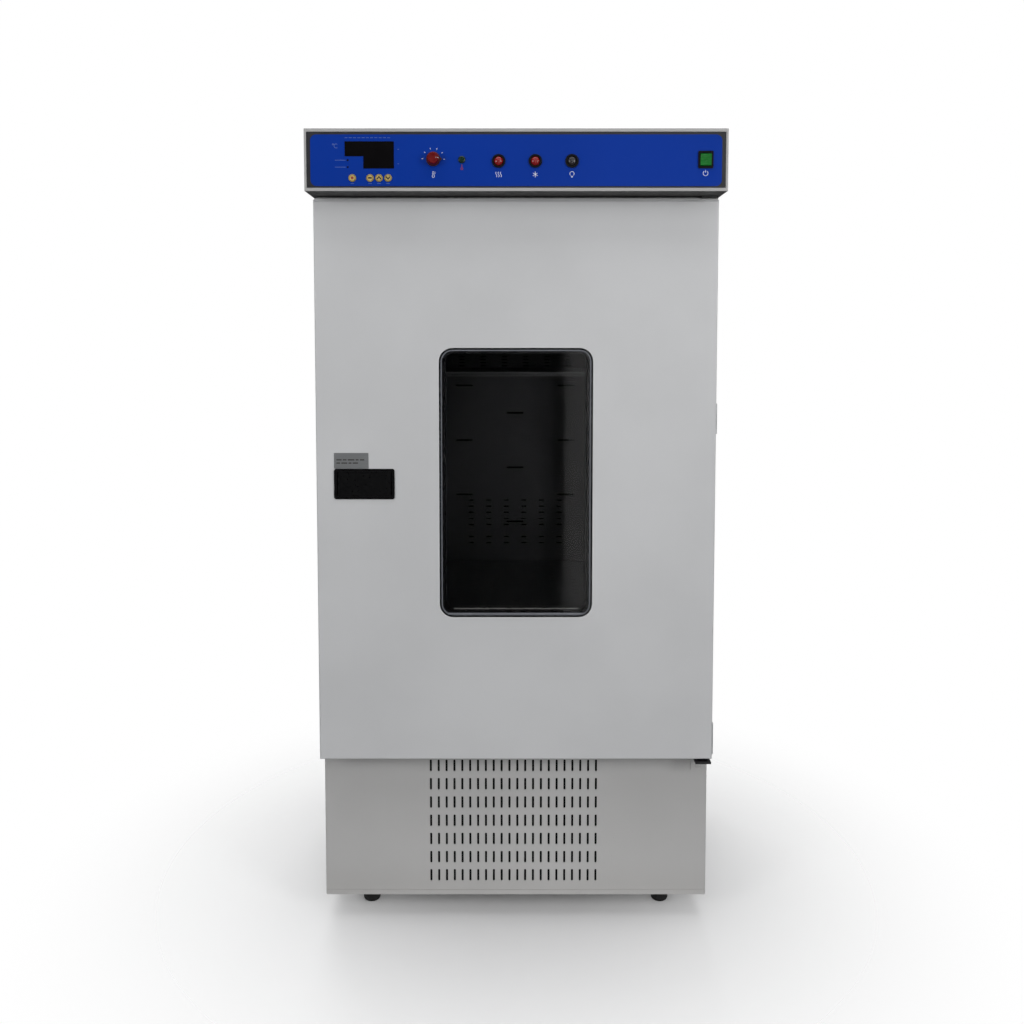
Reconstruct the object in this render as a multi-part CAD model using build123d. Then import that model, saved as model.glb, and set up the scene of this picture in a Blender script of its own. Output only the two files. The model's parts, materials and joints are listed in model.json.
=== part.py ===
from build123d import *
import os

# Laboratory cooling incubator: a tall insulated cabinet on four feet, with a slotted machine
# compartment below, one windowed door hinged on the right, and a control header on top.
# Millimetres. +X is to the viewer's right, +Y points to the back, +Z is up.
# The origin is at the middle of the whole object's footprint, on the floor.

# ---------------------------------------------------------------- overall sizes
CABINET_W = 706.0        # width over the side panels
CABINET_D = 580.0        # front plane to rear panel
FOOT_H = 47.0            # floor to the underside of the cabinet
BASE_H = 270.0           # machine compartment, pan to deck
DOOR_H = 995.0           # door height
HEADER_H = 104.0         # control header height
HEADER_OVER = 3.0        # control header beyond each side of the cabinet
DOOR_T = 42.0            # door slab thickness
HEADER_OUT = 58.0        # how far the header stands in front of the door

# ---------------------------------------------------------------- sheets, walls and gaps
SHEET = 1.5              # powder-coated outer sheet
LINER = 1.0              # stainless chamber sheet
INSULATION = 60.0        # side, top and rear insulation
FLOOR_INSULATION = 55.0  # insulation under the chamber
FRAME_T = 2.0            # breaker frame round the chamber mouth
PAN_T = 3.0              # base pan
SEAL_GAP = 7.0           # back of the door to the front plane
DOOR_REVEAL = 7.0        # gap above and below the door
SOFT_GAP = 0.3           # soft or curved pieces next to another body
FIT = 0.2                # assembly clearance round fitted pieces
SLIDE_FIT = 0.3          # clearance round sliding pieces
RUN_FIT = 0.08           # radial clearance of a pin in its hole

# ---------------------------------------------------------------- heights
PAN_Z = FOOT_H
DECK_Z = PAN_Z + BASE_H
DOOR_Z0 = DECK_Z + DOOR_REVEAL
DOOR_Z1 = DOOR_Z0 + DOOR_H
HEADER_Z0 = DOOR_Z1 + DOOR_REVEAL
TOP_Z = HEADER_Z0 + HEADER_H
CHAMBER_Z0 = DECK_Z + SHEET + FLOOR_INSULATION + LINER
CHAMBER_Z1 = HEADER_Z0 - INSULATION - LINER

# ---------------------------------------------------------------- depths
KNOB_OUT = 16.0          # thermostat knob, in front of the overlay
REAR_OUT = 12.0          # mains inlet, behind the rear panel
FRONT_REACH = SEAL_GAP + DOOR_T + HEADER_OUT + KNOB_OUT
FRONT_Y = (FRONT_REACH - CABINET_D - REAR_OUT) / 2
REAR_Y = FRONT_Y + CABINET_D
DOOR_BACK_Y = FRONT_Y - SEAL_GAP
DOOR_Y = DOOR_BACK_Y - DOOR_T
HEADER_Y = DOOR_Y - HEADER_OUT
CHAMBER_Y0 = FRONT_Y + FRAME_T
CHAMBER_Y1 = REAR_Y - SHEET - INSULATION - LINER

# ---------------------------------------------------------------- widths
SIDE_X = CABINET_W / 2 - SHEET               # inside of the side panels
CHAMBER_W = 2 * (SIDE_X - INSULATION - LINER)
CHAMBER_X = CHAMBER_W / 2
HEADER_W = CABINET_W + 2 * HEADER_OVER

# ---------------------------------------------------------------- base grille
GRILLE_COLUMNS, GRILLE_ROWS = 22, 7
GRILLE_PITCH_X, GRILLE_PITCH_Z = 14.55, 34.8
GRILLE_X, GRILLE_RISE = -4.4, 4.4     # middle of the slots, from the middle of the base's front
GRILLE_SLOT_H, GRILLE_SLOT_W = 22.5, 4.0
REAR_SLOT_L, REAR_SLOT_W = 90.0, 5.0
REAR_SLOT_PITCH_X, REAR_SLOT_PITCH_Z = 120.0, 16.0

# ---------------------------------------------------------------- feet
FOOT_R = 16.0
FOOT_PAD_H = 18.0
FOOT_STEM_R = 6.0
FOOT_INSET_X, FOOT_INSET_Y = 75.5, 70.0
LIP_H = 8.0              # turned lip along the base's bottom edge

# ---------------------------------------------------------------- window
WINDOW_W, WINDOW_H, WINDOW_R = 271.0, 479.0, 24.0     # outside of the gasket
WINDOW_Z = DOOR_Z0 + DOOR_H / 2 + 2.0
GASKET_BORDER = 8.0
GASKET_PROUD = 2.0
NECK_STEP = 3.2          # lip edge to the neck that goes through the panel
NECK_WALL = 1.5
NECK_DEPTH = 8.0
GLASS_T = 5.0
SPACER_WALL = 4.0
INNER_GLASS_OVER = 6.0   # inner glass beyond the spacer's opening
DOOR_LINER_T = 1.2
SEAL_W = 12.0
SEAL_INSET = 4.5         # chamber mouth to the seal

# ---------------------------------------------------------------- hinge
HINGE_EDGE = 16.0        # pivot to the door's right edge
HINGE_BACK = 32.0        # pivot to the back of the door
HINGE_X = CABINET_W / 2 - HINGE_EDGE
HINGE_Y = DOOR_BACK_Y - HINGE_BACK
PIN_R, PIN_L = 4.0, 14.0
BUSH_WALL = 4.0
BUSH_R = PIN_R + BUSH_WALL
BRACKET_T = 4.0
BRACKET_W = 28.0
BRACKET_TIP = 12.0       # bracket beyond the pin's axis
BRACKET_LEG = 34.0       # lower bracket, down the front plane

# ---------------------------------------------------------------- handle and latch
HANDLE_W, HANDLE_H = 107.0, 54.0
HANDLE_X0 = -CABINET_W / 2 + 31.6
HANDLE_Z = WINDOW_Z - 0.5
HANDLE_PROUD = 2.0
HANDLE_RIM = 5.0
CUP_WALL = 2.0
CUP_DEPTH = 24.0
PADDLE_T = 4.0
PADDLE_FIT = 1.5
PADDLE_PIN_R, PADDLE_PIN_L = 1.6, 1.5
PADDLE_PIVOT = 4.5       # cup wall to the paddle's pivot
BOLT_H, BOLT_T, BOLT_W = 20.0, 6.0, 10.0
BOLT_TRAVEL = 8.0
BOLT_X0 = -CABINET_W / 2 + 20.0
BOLT_REACH = 8.0         # bolt behind the front plane
BOLT_ARM = 40.0
BOLT_POCKET = 12.0
STRIKE_T = 1.5
STRIKE_MARGIN = 8.0

# ---------------------------------------------------------------- shelves
SHELF_T = 1.5
SHELF_LIP = 8.0
SHELF_FRONT_GAP = 54.5   # chamber mouth to the shelf, room for the door seal and for its slide
SHELF_SIDE_GAP = 4.0
SHELF_BACK_GAP = 6.0
SHELF_EDGE = 40.0        # unslotted margin, shelf edge to the first slots
SHELF_PITCH_X, SHELF_PITCH_Y = 40.0, 30.0
SHELF_SLOT_L, SHELF_SLOT_W = 14.0, 5.0
UPPER_SHELF_Z = CHAMBER_Z0 + 644.0
LOWER_SHELF_Z = CHAMBER_Z0 + 204.0
RUNNER_W, RUNNER_T, RUNNER_H = 20.0, 2.0, 14.0

# ---------------------------------------------------------------- air duct and refrigeration
DUCT_D = 55.0
DUCT_T = 1.2
DUCT_Y = CHAMBER_Y1 - DUCT_D
WIDE_SLOT_L, WIDE_SLOT_W = 38.0, 4.0
FINE_SLOT_L, FINE_SLOT_W, FINE_PITCH = 12.0, 3.0, 7.0
DUCT_COLUMN_PITCH = 40.0
FAN_R, FAN_DEPTH, FAN_HUB_R = 55.0, 16.0, 16.0
FAN_BLADES = 6
FAN_MOTOR_R, FAN_MOTOR_L = 28.0, 20.0
FAN_SHAFT_R = 3.0
FAN_Z = CHAMBER_Z1 - 95.0
EVAPORATOR_W, EVAPORATOR_H, EVAPORATOR_D = 380.0, 200.0, 32.0
EVAPORATOR_Z = CHAMBER_Z0 + 330.0
FIN_PITCH, FIN_T = 12.0, 0.8
TUBE_R = 4.0
CONDENSER_W, CONDENSER_H, CONDENSER_D = 300.0, 180.0, 44.0
CONDENSER_Y = FRONT_Y + 40.0
CONDENSER_FAN_R = 72.0
COMPRESSOR_R, COMPRESSOR_H = 78.0, 150.0
COMPRESSOR_X, COMPRESSOR_Y = 150.0, REAR_Y - 150.0

# ---------------------------------------------------------------- control header
PANEL_RIM = 4.5          # case lip round the black panel
PANEL_T = 3.0
PANEL_PROUD = 0.5
OVERLAY_MARGIN_X, OVERLAY_MARGIN_TOP, OVERLAY_MARGIN_BOTTOM = 6.5, 4.6, 2.2
OVERLAY_T, OVERLAY_R = 0.6, 10.0
PANEL_Y = HEADER_Y - PANEL_PROUD
OVERLAY_Y = PANEL_Y - OVERLAY_T
PANEL_MID_Z = HEADER_Z0 + HEADER_H / 2 + 0.4
DISPLAY_X0, DISPLAY_X1 = -287.3, -204.9
DISPLAY_STEP_X = -256.2
DISPLAY_TOP, DISPLAY_STEP, DISPLAY_BOTTOM = 29.6, 5.1, -15.1    # above the panel's middle
DISPLAY_T = 3.0
DISPLAY_PROUD = 0.3
KEY_R, KEY_PROUD, KEY_TRAVEL = 6.3, 1.6, 0.8
KEY_XS = {"key_set": -274.9, "key_minus": -245.2, "key_up": -230.1, "key_down": -214.8}
KEY_DZ = -30.9
KNOB_X, KNOB_DZ = -138.9, 0.2
KNOB_R, KNOB_SKIRT_R, KNOB_SKIRT_T = 10.0, 15.0, 4.0
KNOB_SHAFT_R = 3.0
KNOB_GAP = 0.8
LAMP_X, LAMP_DZ, LAMP_R = -91.1, -0.6, 6.2
BUTTON_XS = {"heating_button": -29.5, "cooling_button": 32.1, "lighting_button": 93.6}
BUTTON_DZ = -2.8
BUTTON_R = 7.9
BARREL_WALL, BEZEL_EDGE = 1.1, 2.2
BARREL_R = BUTTON_R + FIT + BARREL_WALL
BEZEL_R = BARREL_R + BEZEL_EDGE
BUTTON_RING_T, BUTTON_PROUD, BUTTON_TRAVEL = 2.5, 4.5, 3.0
BARREL_L, BUTTON_L = 28.0, 20.0
SWITCH_X, SWITCH_DZ = 317.6, -0.6
SWITCH_W, SWITCH_H, SWITCH_RIM = 25.4, 29.0, 3.4
SWITCH_FLANGE_T, SWITCH_DEPTH = 2.0, 22.0
ROCKER_TILT = 7.0        # degrees from level at each end of its travel


def block(x0, x1, y0, y1, z0, z1):
    """A box between two corners."""
    corner = (Align.MIN, Align.MIN, Align.MIN)
    return Pos(x0, y0, z0) * Box(x1 - x0, y1 - y0, z1 - z0, align=corner)


def rod_x(x0, x1, y, z, r):
    return Pos(x0, y, z) * Rot(0, 90, 0) * Cylinder(r, x1 - x0, align=(Align.CENTER, Align.CENTER, Align.MIN))


def rod_y(x, z, r, y0, y1):
    return Pos(x, y0, z) * Rot(-90, 0, 0) * Cylinder(r, y1 - y0, align=(Align.CENTER, Align.CENTER, Align.MIN))


def rod_z(x, y, r, z0, z1):
    return Pos(x, y, z0) * Cylinder(r, z1 - z0, align=(Align.CENTER, Align.CENTER, Align.MIN))


def plate(sketch, y0, y1):
    """A sketch drawn with x across and z up, made solid from y0 to y1."""
    return Pos(0, y1, 0) * Rot(90, 0, 0) * extrude(sketch, y1 - y0)


def rounded(x, z, w, h, r):
    return Pos(x, z) * RectangleRounded(w, h, r)


def upright_rect(x0, x1, z0, z1):
    return Pos((x0 + x1) / 2, (z0 + z1) / 2) * Rectangle(x1 - x0, z1 - z0)


# ================================================================ base and outer sheets
def base_pan():
    floor = block(-SIDE_X, SIDE_X, FRONT_Y, REAR_Y - SHEET, PAN_Z, PAN_Z + PAN_T)
    lip = block(-SIDE_X, SIDE_X, FRONT_Y - SHEET, FRONT_Y, PAN_Z, PAN_Z + LIP_H)
    return floor + lip


def feet():
    pads = []
    for x in (-CABINET_W / 2 + FOOT_INSET_X, CABINET_W / 2 - FOOT_INSET_X):
        for y in (FRONT_Y + FOOT_INSET_Y, REAR_Y - FOOT_INSET_Y):
            pad = rod_z(x, y, FOOT_R, 0, FOOT_PAD_H)
            pad = fillet(pad.edges().sort_by(Axis.Z)[0], FOOT_PAD_H / 3)
            pads.append(pad + rod_z(x, y, FOOT_STEM_R, FOOT_PAD_H, FOOT_H))
    return Compound(pads)


def base_front_grille():
    middle_z = (PAN_Z + PAN_T + DECK_Z) / 2 + GRILLE_RISE
    slots = GridLocations(GRILLE_PITCH_X, GRILLE_PITCH_Z, GRILLE_COLUMNS, GRILLE_ROWS)
    slot = SlotOverall(GRILLE_SLOT_H, GRILLE_SLOT_W, rotation=90)
    sheet = upright_rect(-SIDE_X, SIDE_X, PAN_Z + PAN_T, DECK_Z)
    return plate(sheet - [Pos(GRILLE_X, middle_z) * place * slot for place in slots], FRONT_Y, FRONT_Y + SHEET)


def side_panel(side):
    return block(*sorted((side * SIDE_X, side * CABINET_W / 2)), FRONT_Y, REAR_Y, PAN_Z, HEADER_Z0)


def rear_panel():
    return block(-SIDE_X, SIDE_X, REAR_Y - SHEET, REAR_Y, DECK_Z, HEADER_Z0)


def rear_service_cover():
    """Lower rear cover with cooling slots and the hole for the mains inlet."""
    sheet = upright_rect(-SIDE_X, SIDE_X, PAN_Z, DECK_Z)
    slots = GridLocations(REAR_SLOT_PITCH_X, REAR_SLOT_PITCH_Z, 4, 8)
    slot = SlotOverall(REAR_SLOT_L, REAR_SLOT_W)
    sheet -= [Pos(0, PAN_Z + BASE_H * 0.62) * place * slot for place in slots]
    sheet -= Pos(INLET_X, INLET_Z) * Rectangle(INLET_W + 2 * FIT, INLET_H + 2 * FIT)
    return plate(sheet, REAR_Y - SHEET, REAR_Y)


def machine_deck():
    return block(-SIDE_X, SIDE_X, CHAMBER_Y0, REAR_Y - SHEET, DECK_Z, DECK_Z + SHEET)


INLET_W, INLET_H = 28.0, 22.0
INLET_FLANGE = 5.0
INLET_DEPTH = 26.0
INLET_X, INLET_Z = -270.0, PAN_Z + 45.0


def mains_inlet():
    """Appliance inlet with three flat pins in its well."""
    flange_w, flange_h = INLET_W + 2 * INLET_FLANGE, INLET_H + 2 * INLET_FLANGE
    flange = plate(rounded(INLET_X, INLET_Z, flange_w, flange_h, 4), REAR_Y, REAR_Y + 3)
    shroud = plate(rounded(INLET_X, INLET_Z, INLET_W, INLET_H, 4), REAR_Y + 3, REAR_Y + REAR_OUT)
    body = plate(rounded(INLET_X, INLET_Z, INLET_W, INLET_H, 4), REAR_Y - INLET_DEPTH, REAR_Y)
    well = rounded(INLET_X, INLET_Z, INLET_W - 5, INLET_H - 6, 3)
    shell = flange + shroud + body - plate(well, REAR_Y - 8, REAR_Y + REAR_OUT + 1)
    pins = [(-7, -2), (0, 2), (7, -2)]
    for dx, dz in pins:
        shell += block(INLET_X + dx - 1, INLET_X + dx + 1, REAR_Y - 9, REAR_Y + 8,
                       INLET_Z + dz - 2, INLET_Z + dz + 2)
    return shell


# ================================================================ insulated chamber
def frame_slot():
    """Where the latch bolt enters the breaker frame, as x0, x1, z0, z1."""
    return (BOLT_X0 - 2, BOLT_X0 + BOLT_W + BOLT_TRAVEL + 2,
            HANDLE_Z - BOLT_H / 2 - 2, HANDLE_Z + BOLT_H / 2 + 2)


def insulation_boards():
    y0, y1 = CHAMBER_Y0, REAR_Y - SHEET
    z0, z1 = DECK_Z + SHEET, HEADER_Z0
    inner = CHAMBER_X + LINER
    left = block(-SIDE_X, -inner, y0, y1, z0, z1)
    sx0, sx1, sz0, sz1 = frame_slot()
    left -= block(sx0, sx1, y0 - 1, y0 + BOLT_POCKET, sz0, sz1)
    right = block(inner, SIDE_X, y0, y1, z0, z1)
    floor = block(-inner, inner, y0, y1, z0, CHAMBER_Z0 - LINER)
    ceiling = block(-inner, inner, y0, y1, CHAMBER_Z1 + LINER, z1)
    rear = block(-inner, inner, CHAMBER_Y1 + LINER, y1, CHAMBER_Z0 - LINER, CHAMBER_Z1 + LINER)
    return Compound([left, right, floor, ceiling, rear])


def chamber_liner():
    """Stainless chamber: two sides, floor, ceiling and back sheet, seam to seam."""
    outer, y1 = CHAMBER_X + LINER, CHAMBER_Y1 + LINER
    return Compound([
        block(-outer, -CHAMBER_X, CHAMBER_Y0, y1, CHAMBER_Z0 - LINER, CHAMBER_Z1 + LINER),
        block(CHAMBER_X, outer, CHAMBER_Y0, y1, CHAMBER_Z0 - LINER, CHAMBER_Z1 + LINER),
        block(-CHAMBER_X, CHAMBER_X, CHAMBER_Y0, y1, CHAMBER_Z0 - LINER, CHAMBER_Z0),
        block(-CHAMBER_X, CHAMBER_X, CHAMBER_Y0, y1, CHAMBER_Z1, CHAMBER_Z1 + LINER),
        block(-CHAMBER_X, CHAMBER_X, CHAMBER_Y1, y1, CHAMBER_Z0, CHAMBER_Z1),
    ])


def front_frame():
    """Breaker frame that closes the insulation round the chamber mouth."""
    sheet = upright_rect(-SIDE_X, SIDE_X, DECK_Z, HEADER_Z0)
    sheet -= upright_rect(-CHAMBER_X, CHAMBER_X, CHAMBER_Z0, CHAMBER_Z1)
    sheet -= upright_rect(*frame_slot())
    return plate(sheet, FRONT_Y, CHAMBER_Y0)


def strike_plate():
    x0, x1, z0, z1 = frame_slot()
    sheet = upright_rect(x0 - STRIKE_MARGIN / 2, x1 + STRIKE_MARGIN / 2, z0 - STRIKE_MARGIN, z1 + STRIKE_MARGIN)
    return plate(sheet - upright_rect(x0, x1, z0, z1), FRONT_Y - STRIKE_T, FRONT_Y)


def air_duct_panel():
    """Removable rear chamber panel: wide staggered slots, fine slot bands, and the fan's intake."""
    sheet = upright_rect(-CHAMBER_X, CHAMBER_X, CHAMBER_Z0, CHAMBER_Z1)
    wide = SlotOverall(WIDE_SLOT_L, WIDE_SLOT_W)
    fine = SlotOverall(FINE_SLOT_L, FINE_SLOT_W)
    for row in range(3):
        z = UPPER_SHELF_Z - 40.0 - row * 124.0
        sheet -= [Pos(x, z) * wide for x in (-115.0, 115.0)]
        sheet -= Pos(0, z - 62.0) * wide
    bands = ((UPPER_SHELF_Z + 22.0, 6, 1.2, 1), (LOWER_SHELF_Z + 90.0, 8, 1, 2))
    for z, rows, wide_by, high_by in bands:
        for place in GridLocations(wide_by * DUCT_COLUMN_PITCH, high_by * FINE_PITCH, 6, rows):
            sheet -= Pos(0, z) * place * fine
    for place in PolarLocations(FAN_R * 0.62, 12):
        sheet -= Pos(0, FAN_Z) * place * SlotOverall(FAN_R * 0.5, 6.0)
    return plate(sheet, DUCT_Y, DUCT_Y + DUCT_T)


def shelf(z):
    """Perforated shelf plate with its front and back edges folded down."""
    half = CHAMBER_X - SHELF_SIDE_GAP
    y0, y1 = CHAMBER_Y0 + SHELF_FRONT_GAP, DUCT_Y - SHELF_BACK_GAP
    mid, depth = (y0 + y1) / 2, y1 - y0
    sheet = Pos(0, mid) * Rectangle(2 * half, depth)
    columns = int((2 * half - 2 * SHELF_EDGE) / SHELF_PITCH_X) + 1
    rows = int((depth - SHELF_EDGE) / SHELF_PITCH_Y)
    slots = GridLocations(SHELF_PITCH_X, SHELF_PITCH_Y, columns, rows)
    sheet -= [Pos(0, mid) * place * SlotOverall(SHELF_SLOT_L, SHELF_SLOT_W) for place in slots]
    top = Pos(0, 0, z - SHELF_T) * extrude(sheet, SHELF_T)
    inset = RUNNER_W - SHELF_SIDE_GAP + 2
    lips = [block(-half + inset, half - inset, y, y + SHELF_T, z - SHELF_LIP, z - SHELF_T)
            for y in (y0, y1 - SHELF_T)]
    return top + lips[0] + lips[1]


def shelf_runners():
    """An angle runner on each chamber side under each shelf."""
    y0, y1 = CHAMBER_Y0 + 8.0, DUCT_Y - 1.0
    runners = []
    for z in (UPPER_SHELF_Z, LOWER_SHELF_Z):
        seat = z - SHELF_T
        for side in (-1, 1):
            wall = sorted((side * CHAMBER_X, side * (CHAMBER_X - RUNNER_T)))
            ledge = sorted((side * CHAMBER_X, side * (CHAMBER_X - RUNNER_W)))
            runners.append(block(*wall, y0, y1, seat - RUNNER_H, seat)
                           + block(*ledge, y0, y1, seat - RUNNER_T, seat))
    return Compound(runners)


def temperature_probe():
    """Sheathed sensor that stands out of the duct panel on a clip block."""
    x, z = CHAMBER_X - 60.0, LOWER_SHELF_Z + 170.0
    clip = block(x - 8, x + 8, DUCT_Y - 10, DUCT_Y, z - 8, z + 8)
    return clip + rod_y(x, z, 2.5, DUCT_Y - 70, DUCT_Y - 10)


def chamber_lamp():
    """Bulkhead lamp on the chamber ceiling."""
    y = (CHAMBER_Y0 + DUCT_Y) / 2 - 60.0
    base = block(-120, 120, y - 22, y + 22, CHAMBER_Z1 - 12, CHAMBER_Z1)
    lens = fillet(block(-112, 112, y - 17, y + 17, CHAMBER_Z1 - 24, CHAMBER_Z1 - 12)
                  .edges().group_by(Axis.Z)[0], 6)
    return base + lens


# ================================================================ air and refrigeration parts
def fan_wheel(x, z, y0, radius, depth, blades):
    """Axial fan wheel on a Y shaft: a hub and pitched blades."""
    hub = rod_y(x, z, FAN_HUB_R, y0, y0 + depth)
    blade_l = radius - FAN_HUB_R + 3
    for k in range(blades):
        vane = Pos(FAN_HUB_R - 3 + blade_l / 2, 0, 0) * Rot(28, 0, 0) * Box(blade_l, 2.0, depth * 1.5)
        hub += Pos(x, y0 + depth / 2, z) * Rot(0, 360 / blades * k, 0) * vane
    return hub


def circulation_fan():
    y0 = DUCT_Y + DUCT_T + 6
    wheel = fan_wheel(0, FAN_Z, y0, FAN_R, FAN_DEPTH, FAN_BLADES)
    bore = rod_y(0, FAN_Z, FAN_SHAFT_R + RUN_FIT, y0 + 3, y0 + FAN_DEPTH + 1)
    return wheel - bore


def circulation_fan_motor():
    y1 = CHAMBER_Y1
    body = rod_y(0, FAN_Z, FAN_MOTOR_R, y1 - FAN_MOTOR_L, y1)
    return body + rod_y(0, FAN_Z, FAN_SHAFT_R, DUCT_Y + DUCT_T + 6 + 4, y1 - FAN_MOTOR_L)


def finned_coil(w, h, d, x, y, z, tubes):
    """Heat exchanger: end plates and fins threaded on straight tubes. y is its front, z its foot."""
    fins = [block(x - w / 2 + k * FIN_PITCH, x - w / 2 + k * FIN_PITCH + FIN_T, y, y + d, z, z + h)
            for k in range(int(w / FIN_PITCH) + 1)]
    pitch = h / tubes
    runs = [rod_x(x - w / 2 - 8, x + w / 2 + 8, y + d / 2, z + pitch * (k + 0.5), TUBE_R) for k in range(tubes)]
    bends = []
    for k in range(tubes - 1):
        end = x + (w / 2 + 8 if k % 2 == 0 else -w / 2 - 8)
        bends.append(rod_z(end, y + d / 2, TUBE_R, z + pitch * (k + 0.5), z + pitch * (k + 1.5)))
    return Part() + fins + runs + bends


def evaporator():
    return finned_coil(EVAPORATOR_W, EVAPORATOR_H, EVAPORATOR_D, 0, CHAMBER_Y1 - EVAPORATOR_D, EVAPORATOR_Z, 5)


def condenser():
    return finned_coil(CONDENSER_W, CONDENSER_H, CONDENSER_D, -60, CONDENSER_Y, PAN_Z + PAN_T, 5)


def heater_element():
    """Tubular heater under the evaporator: a hairpin with its two ends on a clamp block."""
    y, z, half, gap = CHAMBER_Y1 - 20.0, EVAPORATOR_Z - 60.0, 150.0, 30.0
    lower, upper = rod_x(-half, half, y, z, TUBE_R), rod_x(-half, half, y, z + gap, TUBE_R)
    turn = rod_z(half, y, TUBE_R, z, z + gap) + Pos(half, y, z) * Sphere(TUBE_R)
    turn += Pos(half, y, z + gap) * Sphere(TUBE_R)
    clamp = block(-half - 10, -half + 10, y - 8, CHAMBER_Y1, z - 8, z + gap + 8)
    return lower + upper + turn + clamp


CONDENSER_FAN_Y = CONDENSER_Y + CONDENSER_D + 10.0
CONDENSER_FAN_Z = PAN_Z + PAN_T + CONDENSER_H / 2


def condenser_fan():
    wheel = fan_wheel(-60, CONDENSER_FAN_Z, CONDENSER_FAN_Y, CONDENSER_FAN_R, 22.0, 5)
    return wheel - rod_y(-60, CONDENSER_FAN_Z, FAN_SHAFT_R + RUN_FIT, CONDENSER_FAN_Y + 4, CONDENSER_FAN_Y + 23)


def condenser_fan_motor():
    """Shaded-pole motor on a foot bracket behind the condenser fan."""
    y0 = CONDENSER_FAN_Y + 30
    body = block(-60 - 30, -60 + 30, y0, y0 + 40, CONDENSER_FAN_Z - 30, CONDENSER_FAN_Z + 30)
    shaft = rod_y(-60, CONDENSER_FAN_Z, FAN_SHAFT_R, CONDENSER_FAN_Y + 5, y0)
    leg = block(-60 - 20, -60 + 20, y0 + 18, y0 + 22, PAN_Z + PAN_T, CONDENSER_FAN_Z - 30)
    foot = block(-60 - 30, -60 + 30, y0 + 5, y0 + 35, PAN_Z + PAN_T, PAN_Z + PAN_T + 3)
    return body + shaft + leg + foot


def compressor():
    """Hermetic compressor pot on its mounting foot."""
    z0 = PAN_Z + PAN_T
    pot = rod_z(COMPRESSOR_X, COMPRESSOR_Y, COMPRESSOR_R, z0 + 12, z0 + 12 + COMPRESSOR_H)
    pot = fillet(pot.edges().filter_by(GeomType.CIRCLE), 30)
    foot = block(COMPRESSOR_X - 95, COMPRESSOR_X + 95, COMPRESSOR_Y - 60, COMPRESSOR_Y + 60, z0 + 9, z0 + 13)
    grommets = [rod_z(COMPRESSOR_X + dx, COMPRESSOR_Y + dy, 10, z0, z0 + 9)
                for dx in (-82, 82) for dy in (-46, 46)]
    stub = rod_z(COMPRESSOR_X - 30, COMPRESSOR_Y, 5, z0 + COMPRESSOR_H, z0 + COMPRESSOR_H + 20)
    return Part() + [pot, foot, stub] + grommets


def refrigerant_pipes():
    """Suction pipe up to the deck, and discharge pipe from the pot to the condenser."""
    z0 = PAN_Z + PAN_T
    top = z0 + COMPRESSOR_H + 20
    x, y = COMPRESSOR_X - 30, COMPRESSOR_Y
    suction = rod_z(x, y, 5, top, DECK_Z)
    front = COMPRESSOR_Y - COMPRESSOR_R - SOFT_GAP
    coil_x = -60 + CONDENSER_W / 2 + 8 + TUBE_R
    coil_y, coil_z = CONDENSER_Y + CONDENSER_D / 2, z0 + CONDENSER_H * 0.9
    points = [(COMPRESSOR_X, front, z0 + 90), (COMPRESSOR_X, front - 50, z0 + 90),
              (COMPRESSOR_X, front - 50, coil_z), (COMPRESSOR_X, coil_y, coil_z), (coil_x, coil_y, coil_z)]
    profile = Plane(origin=points[0], z_dir=(0, -1, 0)) * Circle(4)
    discharge = sweep(profile, path=FilletPolyline(*points, radius=18))
    return Compound([suction, discharge])


# ================================================================ door
def window_outline(inset):
    """The window's rounded outline, drawn in by an inset from the gasket's outside edge."""
    return rounded(0, WINDOW_Z, WINDOW_W - 2 * inset, WINDOW_H - 2 * inset, max(WINDOW_R - inset, 2))


def cup_outline(grow=0.0):
    x0, x1 = HANDLE_X0 + HANDLE_RIM - CUP_WALL, HANDLE_X0 + HANDLE_W - HANDLE_RIM + CUP_WALL
    half = HANDLE_H / 2 - HANDLE_RIM + CUP_WALL
    return upright_rect(x0 - grow, x1 + grow, HANDLE_Z - half - grow, HANDLE_Z + half + grow)


def bush_holes(shape, grow):
    for z0, z1 in ((DOOR_Z0 - 1, DOOR_Z0 + PIN_L), (DOOR_Z1 - PIN_L, DOOR_Z1 + 1)):
        shape -= rod_z(HINGE_X, HINGE_Y, BUSH_R + grow, z0, z1)
    return shape


def door_outer_panel():
    """Folded door tray with softly rounded front edges, window cut-out and handle cut-out."""
    half = CABINET_W / 2
    tray = block(-half, half, DOOR_Y, DOOR_BACK_Y - DOOR_LINER_T, DOOR_Z0, DOOR_Z1)
    front = tray.faces().sort_by(Axis.Y)[0]
    tray = fillet(front.edges(), 3.0)
    tray -= block(-half + SHEET, half - SHEET, DOOR_Y + SHEET, DOOR_BACK_Y, DOOR_Z0 + SHEET, DOOR_Z1 - SHEET)
    tray -= plate(window_outline(NECK_STEP), DOOR_Y - 1, DOOR_Y + SHEET + 1)
    tray -= plate(cup_outline(FIT), DOOR_Y - 1, DOOR_Y + SHEET + 1)
    return bush_holes(tray, FIT)


def door_inner_panel():
    sheet = upright_rect(-CABINET_W / 2, CABINET_W / 2, DOOR_Z0, DOOR_Z1)
    sheet -= window_outline(GASKET_BORDER + 2)
    x0, x1, z0, z1 = frame_slot()
    sheet -= upright_rect(x0 + 1, x1 - 1, z0 + 1, z1 - 1)
    return plate(sheet, DOOR_BACK_Y - DOOR_LINER_T, DOOR_BACK_Y)


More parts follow.
